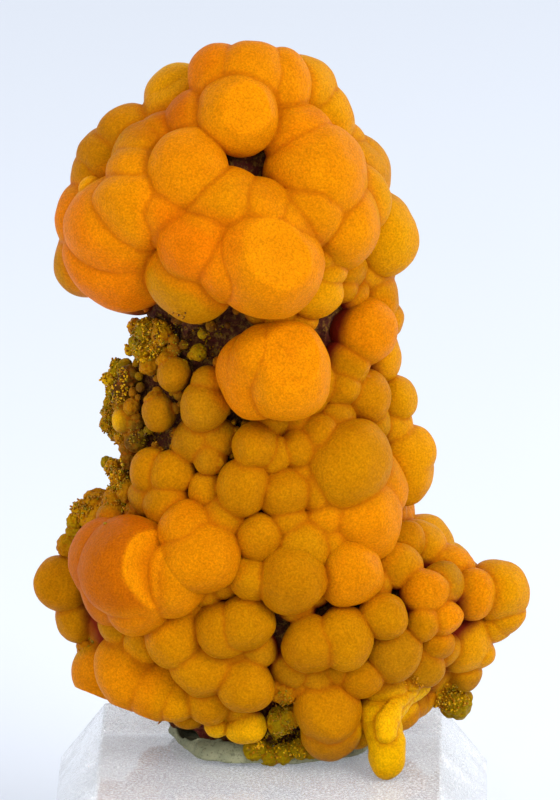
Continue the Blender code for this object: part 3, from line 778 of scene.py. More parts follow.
@dataclass
class RockCore:
    """The gossan column: its sections say where globules sit, and its piece is the rock that shows."""

    frame: dict
    centre_depth: float = 5.0
    sections: list[tuple[float, ...]] = field(
        default_factory=lambda: [
            (1.2, 1.0, 4.5, 9.5, 6.5),
            (4.0, 0.5, 5.0, 14.0, 8.5),
            (9.0, 0.5, 5.0, 17.5, 10.5),
            (14.0, 1.3, 5.0, 19.6, 11.5),
            (17.5, 1.3, 5.0, 20.0, 12.0),
            (21.0, -1.5, 5.0, 16.5, 12.0),
            (26.0, -2.8, 5.0, 14.2, 11.0),
            (32.0, -1.8, 5.0, 13.7, 10.0),
            (38.0, -2.2, 5.0, 13.2, 9.5),
            (44.0, -1.5, 5.0, 12.0, 9.5),
            (50.0, -2.8, 5.0, 12.2, 10.5),
            (57.0, -3.0, 5.0, 13.0, 11.0),
            (62.0, -3.8, 5.0, 10.8, 10.0),
            (65.5, -3.0, 5.0, 8.5, 8.0),
            (68.0, -2.5, 5.0, 5.5, 5.0),
        ]
    )
    grid: float = 0.4
    crags: tuple[float, float] = (3.2, 1.6)
    pits: tuple[float, float] = (1.1, 0.9)
    relief_middle: tuple[float, float] = (0.75, 0.7)
    seat_rounds: int = 16
    crisp_angle: float = 50.0

    def section(self, height: float) -> tuple[float, ...]:
        """(centre x, centre y, half width, half depth) of the rock at this height."""
        if height <= self.sections[0][0]:
            return self.sections[0][1:]
        for low, high in zip(self.sections, self.sections[1:]):
            if height <= high[0]:
                share = (height - low[0]) / (high[0] - low[0])
                return tuple(a + share * (b - a) for a, b in zip(low[1:], high[1:]))
        return self.sections[-1][1:]

    def stand(self, points: np.ndarray) -> np.ndarray:
        """How far each point, in millimetres above the block, stands out of the rock."""
        heights, *columns = zip(*self.sections)
        cx, cy, half_width, half_depth = (np.interp(points[:, 2], heights, column) for column in columns)
        reach = np.hypot((points[:, 0] - cx) / half_width, (points[:, 1] - cy) / half_depth)
        above = np.maximum(0, points[:, 2] - heights[-1])
        return (reach - 1) * (half_width + half_depth) / 2 + above

    def seat(self, across: float, up: float, proud: float) -> Vector:
        """Finds where a globule sits on the rock's near side.

        Args:
            across: how far right of the block's centre the display view shows it.
            up: how far up the display view shows it.
            proud: how far its centre stands out of the rock towards the viewer.

        Returns:
            Its centre in millimetres above the block.
        """
        depth = self.centre_depth
        for _ in range(self.seat_rounds):
            cx, cy, half_width, half_depth = self.section(View.height(up, depth))
            side = max(-1.0, min(1.0, (across - cx) / half_width))
            depth = cy - half_depth * math.sqrt(1 - side * side)
        return View.point(across, up, depth) + TOWARDS_VIEWER * proud

    def heart(self, inset: float) -> bpy.types.Object:
        """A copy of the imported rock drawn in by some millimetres, to hollow the crust with."""
        obj = node_copy(self.frame, "gossan_matrix", "rock_heart")
        for vertex in obj.data.vertices:
            vertex.co -= vertex.normal * inset * MM
        return obj

    def build(self) -> bpy.types.Object:
        """Models the rock that shows: crags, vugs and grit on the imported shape.

        Returns:
            The finished piece.
        """
        obj = node_copy(self.frame, "gossan_matrix", "gossan_rock")
        apply_modifier(obj, "REMESH", mode="VOXEL", voxel_size=self.grid * MM)
        crag_size, crag_height = self.crags
        pit_size, pit_depth = self.pits
        crag_middle, pit_middle = self.relief_middle
        displace(obj, "VORONOI", crag_size * MM, crag_height * MM, crag_middle)
        displace(obj, "CLOUDS", pit_size * MM, pit_depth * MM, pit_middle, noise_depth=4)
        smooth_by_angle(obj, self.crisp_angle)
        obj.data.materials.append(GossanFinish().material())
        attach(obj, BODY)
        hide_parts("gossan_matrix")
        return obj


@dataclass
class Planting:
    """Where every globule sits: the listed ones, small ones in the hollows and rows behind."""

    rock: RockCore
    swell: float = 1.16
    skin: float = 0.14
    spine: tuple[float, float] = (8.0, 56.0)
    row_inset: float = 0.93
    fill_seed: int = 5
    fill_shift: float = 0.3
    fill_edge: float = 0.97
    fill_spacing: float = 2.1
    fill_bottom: float = 5.0
    fill_top: float = 63.0
    fill_width: float = 50.0
    fill_radius: tuple[float, float] = (1.8, 2.6)
    fill_reach: float = 0.95
    fill_proud: float = -0.3
    row_spacing: float = 1.35
    bead_spacing: float = 1.5
    back_seed: int = 11
    back_least: int = 3
    back_turn: float = 0.25
    back_rise: float = 0.35
    back_radius: tuple[float, float] = (0.72, 1.2)
    back_zones: tuple[tuple[float, ...], ...] = ((5.0, 24.0, 2.7), (24.0, 45.0, 2.4), (45.0, 64.0, 3.6))
    scar: tuple[float, ...] = (-1.0, 15.0, 8.5, 12.0)
    window: tuple[float, ...] = (-8.0, 24.5, 47.0, 8.0)
    grit_seed: int = 8
    grit_proud: float = 0.1
    grit_count: int = 230
    grit_radius: tuple[float, float] = (0.3, 0.75)
    grit_spacing: float = 0.75
    grit_edge: float = 0.95
    cap: tuple[tuple[float, ...], ...] = (
        (-4.4, 8.5, 64.2, 4.0),
        (0.2, 8.0, 65.3, 4.3),
        (-2.8, 3.0, 67.2, 3.8),
        (-2.5, 11.5, 62.5, 4.0),
    )
    finger_body: tuple[tuple[float, ...], ...] = (
        (11.9, 0.1, 2.0, -6.0),
        (11.8, 1.8, 2.1, -5.4),
        (11.4, 3.4, 2.1, -4.4),
        (10.6, 4.6, 1.9, -3.4),
        (10.4, 6.4, 1.8, -2.0),
        (11.8, 5.2, 1.9, -3.2),
        (12.9, 6.3, 1.6, -2.0),
        (14.1, 7.0, 1.4, -0.6),
        (15.3, 7.5, 1.2, 0.6),
    )
    # Painted highlight: the ridge's beads take the lemon tone to stand in for the light along the finger.
    finger_highlight_ridge: tuple[tuple[float, ...], ...] = (
        (11.7, 2.9, 1.2, -6.6),
        (11.8, 4.0, 1.3, -5.9),
        (12.6, 5.6, 0.95, -4.5),
        (13.6, 6.6, 0.85, -3.0),
        (14.5, 7.4, 0.8, -1.6),
    )
    strand_steps: int = 4
    gritty: int = 4
    hollows: tuple[tuple[float, ...], ...] = (
        (-9.5, 42.0, 8.0, 6.5),
        (-12.5, 33.0, 3.5, 6.0),
        (-9.0, 36.0, 6.0, 3.0),
        (-3.5, 33.5, 1.8, 3.2),
        (-2.0, 59.8, 3.8, 3.6),
        (5.5, 43.2, 1.8, 2.0),
        (0.4, 12.5, 1.7, 3.4),
        (10.3, 6.5, 1.4, 2.6),
        (-17.2, 13.6, 1.6, 1.6),
        (-0.4, 5.3, 2.2, 1.0),
    )

    def leaned(self, bead: Bead) -> Bead:
        """Swells a globule and sets it back towards the rock's middle, so that neighbours grow together."""
        low, high = self.spine
        height = max(low, min(high, bead.centre.z))
        cx, cy, _, _ = self.rock.section(height)
        outward = (bead.centre - Vector((cx, cy, height))).normalized()
        centre = bead.centre - outward * (self.swell - 1) * bead.radius
        return replace(bead, centre=centre, radius=bead.radius * self.swell + self.skin)

    def front(self) -> list[Bead]:
        """The listed globules of the face that is shown, in their places."""
        groups = (CROWN_GLOBULES, WAIST_GLOBULES, WINDOW_GLOBULES, TWIN_GLOBULES, SKIRT_GLOBULES)
        found = [
            self.leaned(Bead(self.rock.seat(g.across, g.up, g.proud), g.radius, g.tone, g.drusy, g.flat))
            for group in groups
            for g in group
        ]
        # The ridge's lemon tone is a painted highlight.
        for tone, part in ((Tone.HONEY, self.finger_body), (Tone.LEMON, self.finger_highlight_ridge)):
            found += self.strand(part, tone)
        return found

    def strand(self, part: Sequence[tuple[float, ...]], tone: Tone) -> list[Bead]:
        """Closely set globules along a line.

        Args:
            part: the line's corners as (across, up, radius, depth).
            tone: the globules' tone.

        Returns:
            The globules.
        """
        found = []
        for start, end in zip(part, part[1:]):
            for step in range(self.strand_steps):
                share = step / self.strand_steps
                across, up, radius, depth = (a + share * (b - a) for a, b in zip(start, end))
                found.append(Bead(View.point(across, up, depth), radius, tone))
        return found

    def grit(self) -> list[Bead]:
        """Rough little nodules sown over the rock that the window and the clefts lay bare."""
        rng = random.Random(self.grit_seed)
        found = []
        for _ in range(self.grit_count):
            x, y, half_x, half_y = rng.choice(self.hollows[: self.gritty])
            reach = math.sqrt(rng.random())
            turn = rng.uniform(0, math.tau)
            across, up = x + half_x * reach * math.cos(turn), y + half_y * reach * math.sin(turn)
            centre = self.rock.seat(across, up, self.grit_proud)
            cx, _, half_width, _ = self.rock.section(centre.z)
            on_rock = abs(centre.x - cx) < half_width * self.grit_edge
            if on_rock and all((centre - other.centre).length > self.grit_spacing for other in found):
                tone = rng.choice((Tone.UMBER, Tone.UMBER, Tone.UMBER, Tone.OCHRE, Tone.OLIVE))
                found.append(Bead(centre, rng.uniform(*self.grit_radius), tone, True))
        return found

    def is_open(self, across: float, up: float) -> bool:
        """Whether the display view shows an open hollow here."""
        return any(
            ((across - x) / half_x) ** 2 + ((up - y) / half_y) ** 2 < 1
            for x, y, half_x, half_y in self.hollows
        )

    def is_bare(self, x: float, y: float, height: float) -> bool:
        """Whether the rock shows here, on the scar behind or in the window on the left flank."""
        scar_x, scar_height, half_x, half_height = self.scar
        in_scar = ((x - scar_x) / half_x) ** 2 + ((height - scar_height) / half_height) ** 2 < 1
        window_x, window_low, window_high, window_depth = self.window
        on_flank = x < window_x and y < self.rock.centre_depth + window_depth
        in_window = on_flank and window_low < height < window_high
        return in_scar or in_window

    def back(self) -> list[Bead]:
        """Uneven rows of globules round the sides and the back, and a few on the top's far side."""
        rng = random.Random(self.back_seed)
        tones = random.Random(self.back_seed + 1)
        kinds = (Tone.AMBER, Tone.ORANGE, Tone.AMBER, Tone.GOLD, Tone.FIRE)
        found = [Bead(Vector((x, y, z)), radius, Tone.ORANGE) for x, y, z, radius in self.cap]
        for low, high, mean in self.back_zones:
            height = low
            while height < high:
                cx, cy, half_width, half_depth = self.rock.section(height)
                around = math.pi * (half_width + half_depth) / 2
                count = max(self.back_least, round(around / (mean * self.bead_spacing)))
                for i in range(count + 1):
                    angle = math.pi * (i + rng.uniform(-self.back_turn, self.back_turn)) / count
                    radius = mean * rng.uniform(*self.back_radius)
                    x = cx + half_width * self.row_inset * math.cos(angle)
                    y = cy + half_depth * self.row_inset * math.sin(angle)
                    at = height + mean * rng.uniform(-self.back_rise, self.back_rise)
                    if not self.is_bare(x, y, at):
                        found.append(Bead(Vector((x, y, at)), radius, tones.choice(kinds)))
                height += mean * self.row_spacing
        return found

    def fill(self, others: Sequence[Bead]) -> list[Bead]:
        """Finds small globules for the hollows that the others leave on the shown face.

        Args:
            others: the globules that are already there.

        Returns:
            The small globules.
        """
        rng = random.Random(self.fill_seed)
        tones = random.Random(self.fill_seed + 1)
        found = []
        for row in range(round((self.fill_top - self.fill_bottom) / self.fill_spacing)):
            for column in range(round(self.fill_width / self.fill_spacing)):
                shift = column + 0.5 * (row % 2) + rng.uniform(-self.fill_shift, self.fill_shift)
                across = -self.fill_width / 2 + shift * self.fill_spacing
                rise = row + rng.uniform(-self.fill_shift, self.fill_shift)
                up = self.fill_bottom + rise * self.fill_spacing
                radius = rng.uniform(*self.fill_radius)
                centre = self.rock.seat(across, up, self.fill_proud)
                cx, _, half_width, _ = self.rock.section(centre.z)
                on_rock = abs(across - cx) < half_width * self.fill_edge
                covered = any((centre - o.centre).length < o.radius * self.fill_reach for o in others)
                if on_rock and not covered and not self.is_open(across, up):
                    found.append(Bead(centre, radius, tones.choice((Tone.AMBER, Tone.OCHRE))))
        return found

    def beads(self) -> list[Bead]:
        """Every globule of the crust."""
        listed = self.front() + [self.leaned(bead) for bead in self.back()]
        return listed + self.fill(listed) + self.grit()


@dataclass
class MasterGlobule:
    """A lumpy ball of unit radius, modelled once at each fineness and copied for every globule.

    Each relief is given as its size, its strength and the grey that stays where it is.
    """

    swells: tuple[float, ...] = (1.3, 0.24, 0.60)
    facets: tuple[float, ...] = (0.8, 0.05, 1.0)
    ripples: tuple[float, ...] = (0.35, 0.035, 0.6)
    tips: tuple[float, ...] = (0.34, 0.26, 0.95)
    grains: tuple[float, ...] = (0.15, 0.12, 0.5)
    made: dict[tuple[int, bool], bpy.types.Mesh] = field(default_factory=dict)

    def mesh(self, fineness: int, drusy: bool) -> bpy.types.Mesh:
        """Gives the master's mesh, modelled at first use.

        Args:
            fineness: the ball's number of subdivisions.
            drusy: whether its skin is rough with crystal tips.

        Returns:
            The mesh to copy.
        """
        if (fineness, drusy) not in self.made:
            deselect()
            bpy.ops.mesh.primitive_ico_sphere_add(subdivisions=fineness, radius=1.0)
            ball = bpy.context.object
            displace(ball, "CLOUDS", *self.swells, noise_depth=0)
            displace(ball, "VORONOI", *self.facets)
            displace(ball, "CLOUDS", *self.ripples, noise_depth=2)
            if drusy:
                displace(ball, "VORONOI", *self.tips)
                displace(ball, "CLOUDS", *self.grains, noise_depth=3)
            self.made[fineness, drusy] = ball.data.copy()
            bpy.data.objects.remove(ball)
        return self.made[fineness, drusy]


@dataclass
class Crust:
    """The mimetite: all globules grown together, in three pieces that meet inside the crust."""

    rock: RockCore
    planting: Planting
    seed: int = 3
    jitter: float = 0.07
    warmth: float = 0.6
    brightest: float = 0.95
    large: float = 4.5
    small: float = 2.1
    tiny: float = 1.0
    hollow_inset: float = 1.2
    stretch: float = 0.05
    softening: int = 5
    budget: int = 190_000
    skin_reach: float = 0.75
    valley_rounds: int = 8
    valley_depth: float = 0.5
    blend: float = 0.5
    least_weight: float = 1e-9
    root_height: float = 2.0
    root_fade: tuple[float, float] = (60.0, 65.0)
    flat_depth: float = 0.74
    # Painted light: the face rim, face light and face tone brighten the flat growth faces as if lit.
    face_rim: tuple[float, float] = (0.125, 0.375)
    face_light: float = 1.12
    lit_face_tone: Tone = Tone.ORANGE
    break_corner: tuple[float, float] = (-11.2, 3.75)
    break_slant: float = 21.0
    break_size: float = 30.0
    slab_size: float = 100.0
    slab_lift: float = 0.05
    crisp_angle: float = 28.0

    def __post_init__(self) -> None:
        """Readies the master and the random draws."""
        self.master = MasterGlobule()
        self.rng = random.Random(self.seed)
        self.material = MimetiteFinish().material()
        self.beads = self.planting.beads()
        shades = [(*self.shade(bead.tone), 0.0 if bead.drusy else 1.0) for bead in self.beads]
        self.shades = np.array(shades, np.float32)

    def shade(self, tone: Tone) -> tuple[float, ...]:
        """One globule's own colour: its tone, a little lighter or darker and warmer or cooler."""
        light = 1 + self.rng.uniform(-self.jitter, self.jitter)
        warmth = 1 + self.rng.uniform(-self.jitter, self.jitter) * self.warmth
        red, green, blue = tone.value
        return min(self.brightest, red * light), green * light * warmth, blue * light

    def fineness(self, radius: float) -> int:
        """How finely a globule of this radius is meshed."""
        return 6 if radius > self.large else 5 if radius > self.small else 4

    def rough_fineness(self, radius: float) -> int:
        """How finely a drusy globule of this radius is meshed."""
        return 4 if radius < self.tiny else max(5, self.fineness(radius))

    def grow(self, bead: Bead) -> bpy.types.Object:
        """Copies the master, turned and stretched at random, to one globule's place.

        Args:
            bead: the globule.

        Returns:
            The globule's object, at the origin.
        """
        fineness = self.rough_fineness(bead.radius) if bead.drusy else self.fineness(bead.radius)
        mesh = self.master.mesh(fineness, bead.drusy).copy()
        turn = Euler([self.rng.uniform(0, math.tau) for _ in range(3)]).to_matrix().to_4x4()
        stretch = Matrix.Diagonal([1 + self.rng.uniform(-self.stretch, self.stretch) for _ in range(3)])
        size = stretch.to_4x4() @ Matrix.Scale(bead.radius * MM, 4)
        mesh.transform(size @ turn)
        if bead.flat:
            self.flatten(mesh, bead)
        mesh.transform(Matrix.Translation(in_frame(bead.centre)))
        return bpy.data.objects.new("globule", mesh)

    def facing(self, bead: Bead) -> Vector:
        """The direction that a globule's flat growth face looks."""
        right, near, up = bead.flat
        return (Vector((right, 0, 0)) + TOWARDS_VIEWER * near + VIEW_UP * up).normalized()

    def flatten(self, mesh: bpy.types.Mesh, bead: Bead) -> None:
        """Presses a growth face into a globule's mesh, which still lies round the origin."""
        facing = self.facing(bead)
        limit = bead.radius * self.flat_depth * MM
        for vertex in mesh.vertices:
            vertex.co -= facing * max(0.0, vertex.co.dot(facing) - limit)

    def fuse(self, beads: Sequence[Bead], name: str) -> bpy.types.Object:
        """Grows globules and makes one closed solid of them.

        Args:
            beads: the globules of one piece.
            name: the piece's name.

        Returns:
            The fused piece.
        """
        others = bpy.data.collections.new("growing")
        bpy.context.scene.collection.children.link(others)
        first, *rest = [self.grow(bead) for bead in beads]
        bpy.context.scene.collection.objects.link(first)
        for obj in rest:
            others.objects.link(obj)
        apply_modifier(
            first,
            "BOOLEAN",
            operation="UNION",
            solver="MANIFOLD",
            operand_type="COLLECTION",
            collection=others,
        )
        for obj in rest:
            bpy.data.objects.remove(obj)
        bpy.data.collections.remove(others)
        first.name = name
        return first

    def floor_cutter(self) -> bpy.types.Object:
        """A slab just under the crust's lowest level, to trim what would sink into the block."""
        deselect()
        size = self.slab_size * MM
        middle = in_frame((0, 0, self.slab_lift))
        bpy.ops.mesh.primitive_cube_add(size=1, location=(middle.x, middle.y, middle.z - size / 2))
        slab = bpy.context.object
        slab.scale = (size, size, size)
        bpy.ops.object.transform_apply(location=True, rotation=True, scale=True)
        return slab

    def break_cutter(self) -> bpy.types.Object:
        """A block, seen edge-on in the display view, that breaks the left foot off along a slant."""
        deselect()
        across, up = self.break_corner
        size = self.break_size
        bpy.ops.mesh.primitive_cube_add(size=size * MM, location=(-size / 2 * MM, 0, -size / 2 * MM))
        obj = bpy.context.object
        bpy.ops.object.transform_apply(location=True, rotation=True, scale=True)
        slant = Matrix.Rotation(math.radians(self.break_slant), 4, "Y")
        lean = Matrix.Rotation(-LOOK_DOWN, 4, "X")
        obj.data.transform(Matrix.Translation(in_frame(View.point(across, up, 0))) @ lean @ slant)
        return obj

    def shades_at(self, points: np.ndarray) -> np.ndarray:
        """Blends the colours of the globules round each point and paints light onto the flat growth faces,
        brightening them as if they catch the light.

        Args:
            points: rows of x, y and z in millimetres above the block.

        Returns:
            Rows of red, green, blue and smoothness, which is 0 on a drusy globule.
        """
        order = np.argsort(points[:, 2])
        ranked = points[order]
        weights = np.full(len(points), self.least_weight, np.float32)
        blended = np.zeros((len(points), 4), np.float32)
        painted_face_light = np.zeros(len(points), np.float32)
        for bead, shade in zip(self.beads, self.shades):
            reach = bead.radius + self.skin_reach
            low, high = np.searchsorted(ranked[:, 2], (bead.centre.z - reach, bead.centre.z + reach))
            part = slice(low, high)
            arm = ranked[part] - np.array(bead.centre, np.float32)
            gap = np.maximum(0, np.linalg.norm(arm, axis=1) - bead.radius)
            weight = np.exp(-((gap / self.blend) ** 2)) + self.least_weight
            weights[part] += weight
            blended[part] += weight[:, None] * shade
            # Painted light: points on a flat growth face blend towards a brighter tone.
            if bead.flat:
                drop = bead.radius * self.flat_depth - arm @ np.array(self.facing(bead), np.float32)
                level = np.interp(drop, self.face_rim, (1, 0)) * (gap == 0)
                painted_face_light[part] = np.maximum(painted_face_light[part], level)
        face = np.array(self.lit_face_tone.value, np.float32) * self.face_light * weights[:, None]
        blended[:, :3] += painted_face_light[:, None] * (face - blended[:, :3])
        shades = np.empty_like(blended)
        shades[order] = blended / weights[:, None]
        return shades

    def colour(self, obj: bpy.types.Object) -> None:
        """Stores at each vertex its colour, how deep a valley is and how near the rock is.

        Args:
            obj: a fused piece.
        """
        points = coordinates(obj.data) / MM - np.array((0, 0, BLOCK_HEIGHT), np.float32)
        shades = self.shades_at(points)
        root = np.clip(1 - self.rock.stand(points) / self.root_height, 0, 1)
        root *= np.interp(points[:, 2], self.root_fade, (1, 0))
        # The crease value marks valleys, where the material paints shade.
        crease = np.clip(valleys(obj.data, self.valley_rounds) * self.valley_depth, 0, 1)
        write_attribute(obj.data, "crease", crease)
        write_attribute(obj.data, "root", root * shades[:, 3])
        # growth_colour also holds the painted light on the flat growth faces.
        colour = obj.data.attributes.new("growth_colour", "FLOAT_COLOR", "POINT")
        colour.data.foreach_set("color", shades.ravel())

    def build(self) -> list[bpy.types.Object]:
        """Models the three pieces of the crust.

        Returns:
            The pieces.
        """
        heart = self.rock.heart(self.hollow_inset)
        cutters = (heart, self.floor_cutter(), self.break_cutter())
        pieces = []
        for tier in Tier:
            low, high = tier.value
            beads = [bead for bead in self.beads if low <= bead.centre.z < high]
            obj = self.fuse(beads, f"mimetite_{tier.name.lower()}")
            for cutter in cutters:
                apply_modifier(obj, "BOOLEAN", operation="DIFFERENCE", solver="MANIFOLD", object=cutter)
            apply_modifier(obj, "SMOOTH", factor=0.5, iterations=self.softening)
            self.colour(obj)
            triangles = sum(len(face.vertices) - 2 for face in obj.data.polygons)
            if triangles > self.budget:
                apply_modifier(obj, "DECIMATE", ratio=self.budget / triangles)
            smooth_by_angle(obj, self.crisp_angle)
            obj.data.materials.clear()
            obj.data.materials.append(self.material)
            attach(obj, BODY)
            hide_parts("mimetite_crust")
            LOG.info("%s: %d globules, %d faces", obj.name, len(beads), len(obj.data.polygons))
            pieces.append(obj)
        for cutter in cutters:
            bpy.data.objects.remove(cutter)
        return pieces


@dataclass(frozen=True)
class DruseBed:
    """A patch that the display view shows covered with crystals."""

    across: float
    up: float
    half_width: float
    half_height: float
    count: int
    length: tuple[float, float]
    tones: tuple[Tone, ...]


@dataclass
class Druse:
    """Hundreds of tiny crystals on the rock of the left window, on ledges and in clefts."""

    beads: Sequence[Bead]
    seed: int = 21
    sides: int = 6
    slenderness: float = 0.42
    foot: float = 0.15
    tip_height: float = 0.22
    tip_share: float = 0.25
    lean: float = 0.45
    light: tuple[float, float] = (0.85, 1.25)
    skin: float = 0.5
    viewer_depth: float = -60.0
    beds: tuple[DruseBed, ...] = (
        DruseBed(-12.6, 42.2, 2.0, 2.4, 260, (0.14, 0.28), (Tone.OLIVE, Tone.OCHRE, Tone.LEMON)),
        DruseBed(-15.6, 37.8, 1.5, 2.4, 200, (0.14, 0.28), (Tone.OLIVE, Tone.OCHRE, Tone.LEMON)),
        DruseBed(-15.9, 33.6, 1.3, 2.4, 180, (0.14, 0.26), (Tone.OLIVE, Tone.OCHRE)),
        DruseBed(-15.6, 28.6, 1.4, 1.8, 180, (0.14, 0.28), (Tone.OLIVE, Tone.OCHRE, Tone.LEMON)),
        DruseBed(-17.3, 25.0, 3.2, 1.4, 360, (0.14, 0.28), (Tone.OLIVE, Tone.OCHRE, Tone.OCHRE)),
        DruseBed(-8.5, 42.0, 4.5, 3.0, 200, (0.12, 0.24), (Tone.OLIVE, Tone.OCHRE, Tone.UMBER)),
        DruseBed(-10.0, 32.3, 4.5, 1.6, 160, (0.12, 0.24), (Tone.OCHRE, Tone.OLIVE, Tone.UMBER)),
        DruseBed(-18.2, 11.8, 1.4, 1.8, 110, (0.14, 0.26), (Tone.OLIVE, Tone.OCHRE)),
        DruseBed(1.5, 1.6, 4.2, 1.4, 320, (0.14, 0.26), (Tone.OLIVE, Tone.LEMON, Tone.OCHRE)),
        DruseBed(17.8, 6.2, 2.2, 1.5, 260, (0.14, 0.28), (Tone.OLIVE, Tone.LEMON, Tone.OCHRE)),
        DruseBed(14.6, 8.6, 1.6, 1.2, 120, (0.12, 0.24), (Tone.GOLD, Tone.OCHRE)),
        DruseBed(1.6, 5.0, 1.4, 2.2, 140, (0.12, 0.24), (Tone.OLIVE, Tone.OCHRE)),
    )

    def crystal(self) -> bpy.types.Mesh:
        """Models one crystal: a six-sided prism that tapers to a blunt tip, one unit long.

        Returns:
            The mesh that every crystal copies.
        """
        deselect()
        bpy.ops.mesh.primitive_cylinder_add(
            vertices=self.sides, radius=self.slenderness, depth=1.0, location=(0, 0, 0.5 - self.foot)
        )
        obj = bpy.context.object
        bpy.ops.object.transform_apply(location=True, rotation=True, scale=True)
        top = max(obj.data.polygons, key=lambda face: face.center.z)
        top_index = top.index
        bpy.ops.object.mode_set(mode="EDIT")
        bpy.ops.mesh.select_all(action="DESELECT")
        bpy.ops.object.mode_set(mode="OBJECT")
        obj.data.polygons[top_index].select = True
        bpy.ops.object.mode_set(mode="EDIT")
        bpy.ops.mesh.select_mode(type="FACE")
        bpy.ops.mesh.extrude_region_move(TRANSFORM_OT_translate={"value": (0, 0, self.tip_height)})
        bpy.ops.transform.resize(value=(self.tip_share, self.tip_share, 1.0))
        bpy.ops.object.mode_set(mode="OBJECT")
        mesh = obj.data.copy()
        bpy.data.objects.remove(obj)
        return mesh

    def is_smooth(self, place: Vector) -> bool:
        """Whether this place lies on a globule that no crystals cover."""
        point = place / MM - Vector((0, 0, BLOCK_HEIGHT))
        nearest = min(self.beads, key=lambda bead: abs((point - bead.centre).length - bead.radius))
        on_globule = abs((point - nearest.centre).length - nearest.radius) < self.skin
        return on_globule and not nearest.drusy

    def plant(
        self, bed: DruseBed, ground: Sequence[BVHTree], rng: random.Random, crystal: bpy.types.Mesh
    ) -> list:
        """Sets crystals where lines of sight inside the bed meet rough ground.

        Args:
            bed: the patch to cover.
            ground: the surfaces that crystals grow on.
            rng: the random draws.
            crystal: the mesh to copy.

        Returns:
            The crystals' objects.
        """
        planted = []
        for _ in range(bed.count):
            reach = math.sqrt(rng.random())
            turn = rng.uniform(0, math.tau)
            across = bed.across + bed.half_width * reach * math.cos(turn)
            up = bed.up + bed.half_height * reach * math.sin(turn)
            length = rng.uniform(*bed.length)
            lean = Vector([rng.gauss(0, self.lean) for _ in range(3)])
            spin = rng.uniform(0, math.tau)
            light = rng.uniform(*self.light)
            tone = rng.choice(bed.tones)
            start = in_frame(View.point(across, up, self.viewer_depth))
            hits = [tree.ray_cast(start, -TOWARDS_VIEWER) for tree in ground]
            hits = [hit for hit in hits if hit[0] is not None]
            if not hits:
                continue
            place, normal, _, _ = min(hits, key=lambda hit: hit[3])
            if self.is_smooth(place):
                continue
            axis = (normal.normalized() + lean).normalized()
            mesh = crystal.copy()
            stand = axis.to_track_quat("Z", "Y").to_matrix().to_4x4()
            size = Matrix.Scale(length * MM, 4)
            mesh.transform(Matrix.Translation(place) @ stand @ Matrix.Rotation(spin, 4, "Z") @ size)
            colour = mesh.attributes.new("growth_colour", "FLOAT_COLOR", "POINT")
            shade = np.array([*(c * light for c in tone.value), 1.0], np.float32)
            colour.data.foreach_set("color", np.tile(shade, len(mesh.vertices)))
            obj = bpy.data.objects.new("crystal", mesh)
            bpy.context.scene.collection.objects.link(obj)
            planted.append(obj)
        return planted

    def build(self, ground: Iterable[bpy.types.Object]) -> bpy.types.Object:
        """Grows every bed of crystals into one piece.

        Args:
            ground: the pieces that crystals grow on.

        Returns:
            The finished piece.
        """
        graph = bpy.context.evaluated_depsgraph_get()
        trees = [BVHTree.FromObject(obj, graph) for obj in ground]
        rng = random.Random(self.seed)
        crystal = self.crystal()
        planted = []
        for bed in self.beds:
            planted += self.plant(bed, trees, rng, crystal)
        obj = joined(planted, "druse_crystals")
        obj.data.materials.clear()
        obj.data.materials.append(DruseFinish().material())
        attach(obj, BODY)
        return obj


@dataclass
class MountingPutty:
    """The pad of putty, squeezed out round the specimen's foot."""

    frame: dict
    grid: float = 0.35
    dent_size: float = 3.5
    dent_depth: float = 0.8
    dent_middle: float = 0.7
    crisp_angle: float = 60.0

    def build(self) -> bpy.types.Object:
        """Models the pad with thumb dents and a squeezed rim.

        Returns:
            The finished piece.
        """
        obj = node_copy(self.frame, "mounting_putty", "putty_pad")
        apply_modifier(obj, "REMESH", mode="VOXEL", voxel_size=self.grid * MM)
        displace(obj, "CLOUDS", self.dent_size * MM, self.dent_depth * MM, self.dent_middle, noise_depth=2)
        apply_modifier(obj, "SMOOTH", factor=0.5, iterations=3)
        smooth_by_angle(obj, self.crisp_angle)
        obj.data.materials.append(PuttyFinish().material())
        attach(obj, BODY)
        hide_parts("mounting_putty")
        return obj


@dataclass
class AcrylicBlock:
    """The clear block: square sides, bevels up to the top face and lightly eased edges."""

    width: float = 44.0
    height: float = 19.0
    bevel_run: float = 4.8
    bevel_drop: float = 7.6
    eased: float = 0.3
    eased_over: float = 0.3
    crisp_angle: float = 20.0

    def build(self) -> bpy.types.Object:
        """Models the block from a cube.

        Returns:
            The finished piece.
        """
        deselect()
        lower = self.height - self.bevel_drop
        bpy.ops.mesh.primitive_cube_add(size=1, location=(0, 0, lower / 2 * MM))
        obj = bpy.context.object
        obj.name = "clear_block"
        obj.scale = (self.width * MM, self.width * MM, lower * MM)
        bpy.ops.object.transform_apply(location=True, rotation=True, scale=True)
        bpy.ops.object.mode_set(mode="EDIT")
        bpy.ops.mesh.select_all(action="DESELECT")
        bpy.ops.object.mode_set(mode="OBJECT")
        max(obj.data.polygons, key=lambda face: face.center.z).select = True
        bpy.ops.object.mode_set(mode="EDIT")
        bpy.ops.mesh.select_mode(type="FACE")
        bpy.ops.mesh.extrude_region_move(TRANSFORM_OT_translate={"value": (0, 0, self.bevel_drop * MM)})
        share = 1 - 2 * self.bevel_run / self.width
        bpy.ops.transform.resize(value=(share, share, 1.0), center_override=(0, 0, self.height * MM))
        bpy.ops.object.mode_set(mode="OBJECT")
        eased = {"width": self.eased * MM, "segments": 3, "angle_limit": self.eased_over}
        apply_modifier(obj, "BEVEL", limit_method="ANGLE", **eased)
        smooth_by_angle(obj, self.crisp_angle)
        obj.data.materials.append(AcrylicFinish().material())
        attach(obj, BODY)
        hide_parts("acrylic_block")
        return obj


